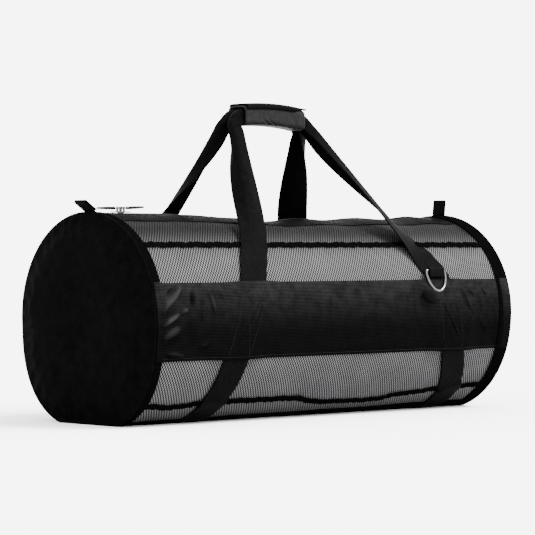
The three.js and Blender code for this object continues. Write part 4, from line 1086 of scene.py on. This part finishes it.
def grip_sleeve():
    """Padded sleeve: the grip's section carried along its arch, outside and back inside, with rounded ends
    and the slanted wrinkles of the wrap."""
    inset = HAND_GRIP_WALL
    profile = [(-1, -inset), (-1, -inset * 0.3), (-0.985, -0.4)]
    profile += [(share, 0) for share in np.linspace(-0.96, 0.96, 56)]
    profile += [(0.985, -0.4), (1, -inset * 0.3), (1, -inset), (0.5, -inset), (0, -inset), (-0.5, -inset)]
    share, offset = np.array(profile).T
    turn = np.linspace(0, 2 * math.pi, 88, endpoint=False)[None]
    x = HAND_GRIP_CENTRE[0] + GRIP_HALF * share[:, None] + 0 * turn
    fold = creases(x, turn * 20 + 0 * x, [(-50, 62, -20, 84, 2.2, -1.4), (-40, 60, -8, 84, 2.0, -1.1),
                                          (20, 60, 36, 80, 3, -0.6), (-70, 66, -60, 90, 3, -0.6)])
    outer = (offset > -0.3)[:, None]
    raised = offset[:, None] + outer * (fold + 0.5 * (ridges(x, turn * 20, 13, 51) - 0.3))
    y, z = grip_ring(turn + 0 * x, raised)
    loops = np.stack([x, y, grip_height(x) + z], -1)
    obj = bar("grip_sleeve", loops, GRIP_FINISH, ["grip_wrap"], closed=True)
    return obj


# Middle of the flap round the grip and half of its reach, in degrees
FLAP_MIDDLE = 78
FLAP_SPAN = 66


def flap():
    """Closing flap: a strip of webbing cloth over the grip's top, from the rear edge to the front one,
    which narrows to a point past the grip's right end."""
    share = np.linspace(-0.96, 1.06, 60)[:, None]
    narrow = 1 - 0.62 * ease((share - 0.55) / 0.5)
    w = np.linspace(-1, 1, 20)
    over = np.concatenate([w, w[::-1]])[None]
    top = np.concatenate([np.ones(20), np.zeros(20)])[None]
    turn = (FLAP_MIDDLE + over * narrow * FLAP_SPAN) * DEGREE
    x = HAND_GRIP_CENTRE[0] + GRIP_HALF * share + 0 * turn
    edge = 1 - np.abs(over) ** 12
    raised = FLAP_GAP + FLAP_THICK * top * (0.4 + 0.6 * edge) + 0.5 * ridges(x, turn * 20, 17, 61)
    y, z = grip_ring(turn, raised)
    held = np.minimum(x, HAND_GRIP_CENTRE[0] + GRIP_HALF)
    return bar("closing_flap", np.stack([x, -y, grip_height(held) + z], -1), WEB_FINISH, ["grip_flap"])


grip_sleeve()
flap()


# Rings and tabs

# The front ring's bar: its angle down from the zip, its lean with the cloth, and how far it sits beside the
# middle of the strap and over the cloth
RING_ANGLE = BAND_TOP - 4.6
RING_LEAN = -(90 - RING_ANGLE) * 0.62 * DEGREE
RING_ASIDE = 12
RING_STAND = STRAP_TOP + 5 * GAP + WEBBING + RING_WIRE / 2 + RING_PLAY
RING_PLACE = skin(strap_x("right", 3) - RING_ASIDE, RING_ANGLE, RING_STAND)


def hang(points, side):
    """Points drawn about the ring's bar, leaned with the cloth and set in place. The rear ones are turned
    half round the bag's upright line."""
    c, s = math.cos(RING_LEAN), math.sin(RING_LEAN)
    x, y, z = points[..., 0], points[..., 1], points[..., 2]
    placed = np.stack([x, c * y - s * z, s * y + c * z], -1) + RING_PLACE
    return placed if side > 0 else placed * [-1, -1, 1]


def tube(centres, radius, sides, normal):
    """Round wire through closed centres: a circle in the plane of the radial direction and the given
    normal."""
    along = np.roll(centres, -1, 0) - np.roll(centres, 1, 0)
    along /= np.linalg.norm(along, axis=1, keepdims=True)
    across = np.cross(normal, along)
    turn = np.linspace(0, 2 * math.pi, sides, endpoint=False)
    return centres[:, None] + radius * (np.cos(turn)[None, :, None] * across[:, None]
                                        + np.sin(turn)[None, :, None] * np.asarray(normal, float))


def ring(word, side):
    """Ring: a straight bar and a half-round bow, with small round corners between them."""
    wide, deep = (RING_WIDTH - RING_WIRE) / 2, RING_HEIGHT - RING_WIRE
    bow_turn = np.linspace(0, math.pi, 60)
    bow = np.stack([wide * np.cos(bow_turn), 0 * bow_turn, -4 - (deep - 4) * np.sin(bow_turn)], 1)
    straight = np.stack([np.linspace(1.8 - wide, wide - 1.8, 60), np.zeros(60), np.zeros(60)], 1)
    centres = np.concatenate([straight, bow])
    for _ in range(2):
        centres = (np.roll(centres, 1, 0) + 2 * centres + np.roll(centres, -1, 0)) / 4
    loops = hang(tube(centres, RING_WIRE / 2, 16, (0, 1, 0)), side)
    return bar(f"chrome_ring_{word}", loops, CHROME_FINISH, [f"d_ring_{word}"], f"d_ring_{word}", closed=True)


def ring_webbing(word, side):
    """Ring tab: webbing that goes up behind the bar, round it and down in front, as one bent strip."""
    eye = RING_WIRE / 2 + RING_PLAY + WEBBING / 2
    foot = RING_TAB_HEIGHT - eye - WEBBING / 2
    turn = np.linspace(0, math.pi, 16)
    back = np.stack([np.full(6, eye), np.linspace(-foot, 0, 6)], 1)[:-1]
    round_bar = np.stack([eye * np.cos(turn), eye * np.sin(turn)], 1)
    front = np.stack([-eye + 1.2 * ease(np.linspace(0, 1, 8)), np.linspace(0, -foot, 8)], 1)[1:]
    path = np.concatenate([back, round_bar, front])
    path[:5, 0] -= 2.4 * ease(np.linspace(1, 0, 5))
    centres = np.stack([np.zeros(len(path)), path[:, 0], path[:, 1]], 1)
    section = tape_loop(RING_TAB_WIDTH / 2 - WEBBING / 2, WEBBING * 1.2)
    loops = swept(centres, np.array([1.0, 0, 0]), section)
    return bar(f"ring_webbing_{word}", hang(loops, side), WEB_FINISH, [f"ring_tab_{word}"])


# Roll of turned-in webbing below the ring, in millimetres, with its place down the bag by seams
ROLL = {"x": 194, "station": 3.25, "long": 30, "tall": 20, "deep": 6}


def strap_roll(word, side):
    """Turned-in end of webbing below the ring: a rounded roll, thick in the middle and pinched where it is
    sewn."""
    share = np.linspace(-1, 1, 25)[:, None]
    turn = np.linspace(0, 2 * math.pi, 24, endpoint=False)[None]
    round_end = np.sqrt(np.maximum(0.02, 1 - np.abs(share) ** 3))
    c, s = np.cos(turn), np.sin(turn)
    x = ROLL["x"] + share * ROLL["long"] / 2 + 0 * turn
    down = ROLL["tall"] / 2 * round_end * np.sign(c) * np.abs(c) ** 0.8 + 3 * share
    out = ROLL["deep"] / 2 * round_end * (1 + s) + 0.6 * ridges(x, down, 6, 71)
    over = band_height(side * ROLL["x"], ROLL["station"] - 3, side) - 1.5
    return bar(f"strap_roll_{word}", panel(side * x, ROLL["station"], over + out, side, down), WEB_FINISH)


for word, side in SIDES.items():
    ring(word, side)
    ring_webbing(word, side)
    strap_roll(word, side)

# Lean of the end tabs to the left in degrees, and their lift over the binding
TAB_LEAN = {"left": 56, "right": -6}
TAB_LIFT = {"left": 2, "right": 0.3}


def end_tab(word, end):
    """End tab: webbing folded in half, up one side and down the other, standing on the end binding."""
    half = END_TAB_SLOT / 2 + WEBBING / 2
    top = END_TAB_LENGTH - half - WEBBING / 2
    turn = np.linspace(math.pi, 0, 12)
    up_side = np.stack([np.full(8, -half), np.linspace(-1.6, top, 8)], 1)[:-1]
    bend = np.stack([half * np.cos(turn), top + half * np.sin(turn)], 1)
    down_side = np.stack([np.full(8, half), np.linspace(top, -1.6, 8)], 1)[1:]
    path = np.concatenate([up_side, bend, down_side])
    centres = np.stack([path[:, 0], np.zeros(len(path)), path[:, 1]], 1)
    loops = swept(centres, np.array([0, 1.0, 0]), tape_loop(END_TAB_WIDTH / 2, WEBBING * 0.95))
    lean = -TAB_LEAN[word] * DEGREE
    x, z = loops[..., 0].copy(), loops[..., 2].copy()
    loops[..., 0] = math.cos(lean) * x + math.sin(lean) * z + end * (HALF - BINDING_WIDTH / 3)
    loops[..., 2] = math.cos(lean) * z - math.sin(lean) * x + BAG_HEIGHT + GAP + TAB_LIFT[word]
    return bar(f"end_loop_{word}", loops, WEB_FINISH, [f"end_tab_{word}"])


for word, end in ENDS.items():
    end_tab(word, end)


# Stitches

# Length of a stitch, step from one to the next, and radius of its thread
STITCH = 3.2
STITCH_STEP = 4.4
STITCH_RADIUS = 0.35


def stitch_parts(path, parts):
    """Stitches along a path: short six-sided threads with pinched ends, at a fixed step, half sunk in the
    cloth."""
    path = np.asarray(path, float)
    at = np.concatenate([[0], np.cumsum(np.linalg.norm(np.diff(path, axis=0), axis=1))])
    turn = np.linspace(0, 2 * math.pi, 6, endpoint=False)
    for start in np.arange(0, at[-1] - STITCH, STITCH_STEP):
        places = start + STITCH * np.array([0, 0.25, 0.75, 1])
        centre = np.stack([np.interp(places, at, path[:, k]) for k in range(3)], 1)
        along = centre[-1] - centre[0]
        along /= np.linalg.norm(along)
        side = np.cross(along, [0.3, 0.5, 0.8])
        side /= np.linalg.norm(side)
        other = np.cross(along, side)
        thick = STITCH_RADIUS * np.array([0.4, 1, 1, 0.4])
        loops = centre[:, None] + thick[:, None, None] * (np.cos(turn)[None, :, None] * side
                                                          + np.sin(turn)[None, :, None] * other)
        bar("stitch", loops, THREAD_FINISH, join=parts)


def band_stitches(word, side):
    """Rows of stitches along the band's edges, and round each strap where the band is sewn over it."""
    parts = []
    for share in (0.035, 0.965):
        x = np.linspace(-HALF + BINDING_WIDTH, HALF - BINDING_WIDTH, 260)
        height = band_height(x, np.full_like(x, share), side) + 0.15
        stitch_parts(panel(x, 3 + share, height, side), parts)
    for strap in ENDS:
        share = np.linspace(0.04, 0.96, 40)
        for offset in (-STRAP_HALF + 3, STRAP_HALF - 3):
            x = strap_x(strap, 3 + share) + offset
            stitch_parts(panel(x, 3 + share, band_height(x, share, side) + 0.15, side), parts)
        x = strap_x(strap, 3 + share) + np.linspace(-STRAP_HALF + 4, STRAP_HALF - 4, 40)
        stitch_parts(panel(x, 3 + share, band_height(x, share, side) + 0.15, side), parts)
    joined(f"band_stitches_{word}", parts, THREAD_FINISH)


for word, side in SIDES.items():
    band_stitches(word, side)


# Hard pieces of the zip keep their solids and get their finish

for word in ENDS:
    for name, finish in ((f"zip_slider_{word}", SLIDER_METAL), (f"zip_link_{word}", SLIDER_METAL),
                         (f"zip_grip_{word}", SOFT_VINYL)):
        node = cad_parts[name]
        for number in range(len(node.material_slots)):
            node.material_slots[number].material = finish


# Studio: the floor's reach from the middle, in millimetres, and the strengths of sky and key light
FLOOR_REACH = 60000
SKY_STRENGTH = 7.8
KEY_STRENGTH = 22
KEY_SPREAD = 28
KEY_RUNS = (-1.6, 2.0, -3.0)


def studio():
    """A pale floor, an even sky and one soft key light from the upper right."""
    finish = start_material("pale_paper_backdrop", Roughness=1.0, Specular_IOR_Level=0.0)
    material, tree, shader, place = finish
    link_shader(tree, shader, Base_Color=mixed(tree, noise(tree, place, 3.0), "#c6c6c6", "#c8c8c8"))
    corners = FLOOR_REACH * np.array([[-1, -1, 0], [1, -1, 0], [1, 1, 0], [-1, 1, 0]])
    mesh = mesh_of("floor", corners, [[0, 1, 2, 3]])
    floor = bpy.data.objects.new("floor", mesh)
    mesh.materials.append(material)
    bpy.context.collection.objects.link(floor)
    floor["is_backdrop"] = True
    world = bpy.data.worlds.new("studio")
    world.use_nodes = True
    bpy.context.scene.world = world
    sky = next(node for node in world.node_tree.nodes if node.type == "BACKGROUND")
    sky.inputs["Color"].default_value = linear("#f3f3f3")
    sky.inputs["Strength"].default_value = SKY_STRENGTH
    data = bpy.data.lights.new("key", "SUN")
    data.energy = KEY_STRENGTH
    data.angle = KEY_SPREAD * DEGREE
    lamp = bpy.data.objects.new("key", data)
    lamp.rotation_euler = Vector(KEY_RUNS).to_track_quat("-Z", "Y").to_euler()
    bpy.context.collection.objects.link(lamp)


studio()

low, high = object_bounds()
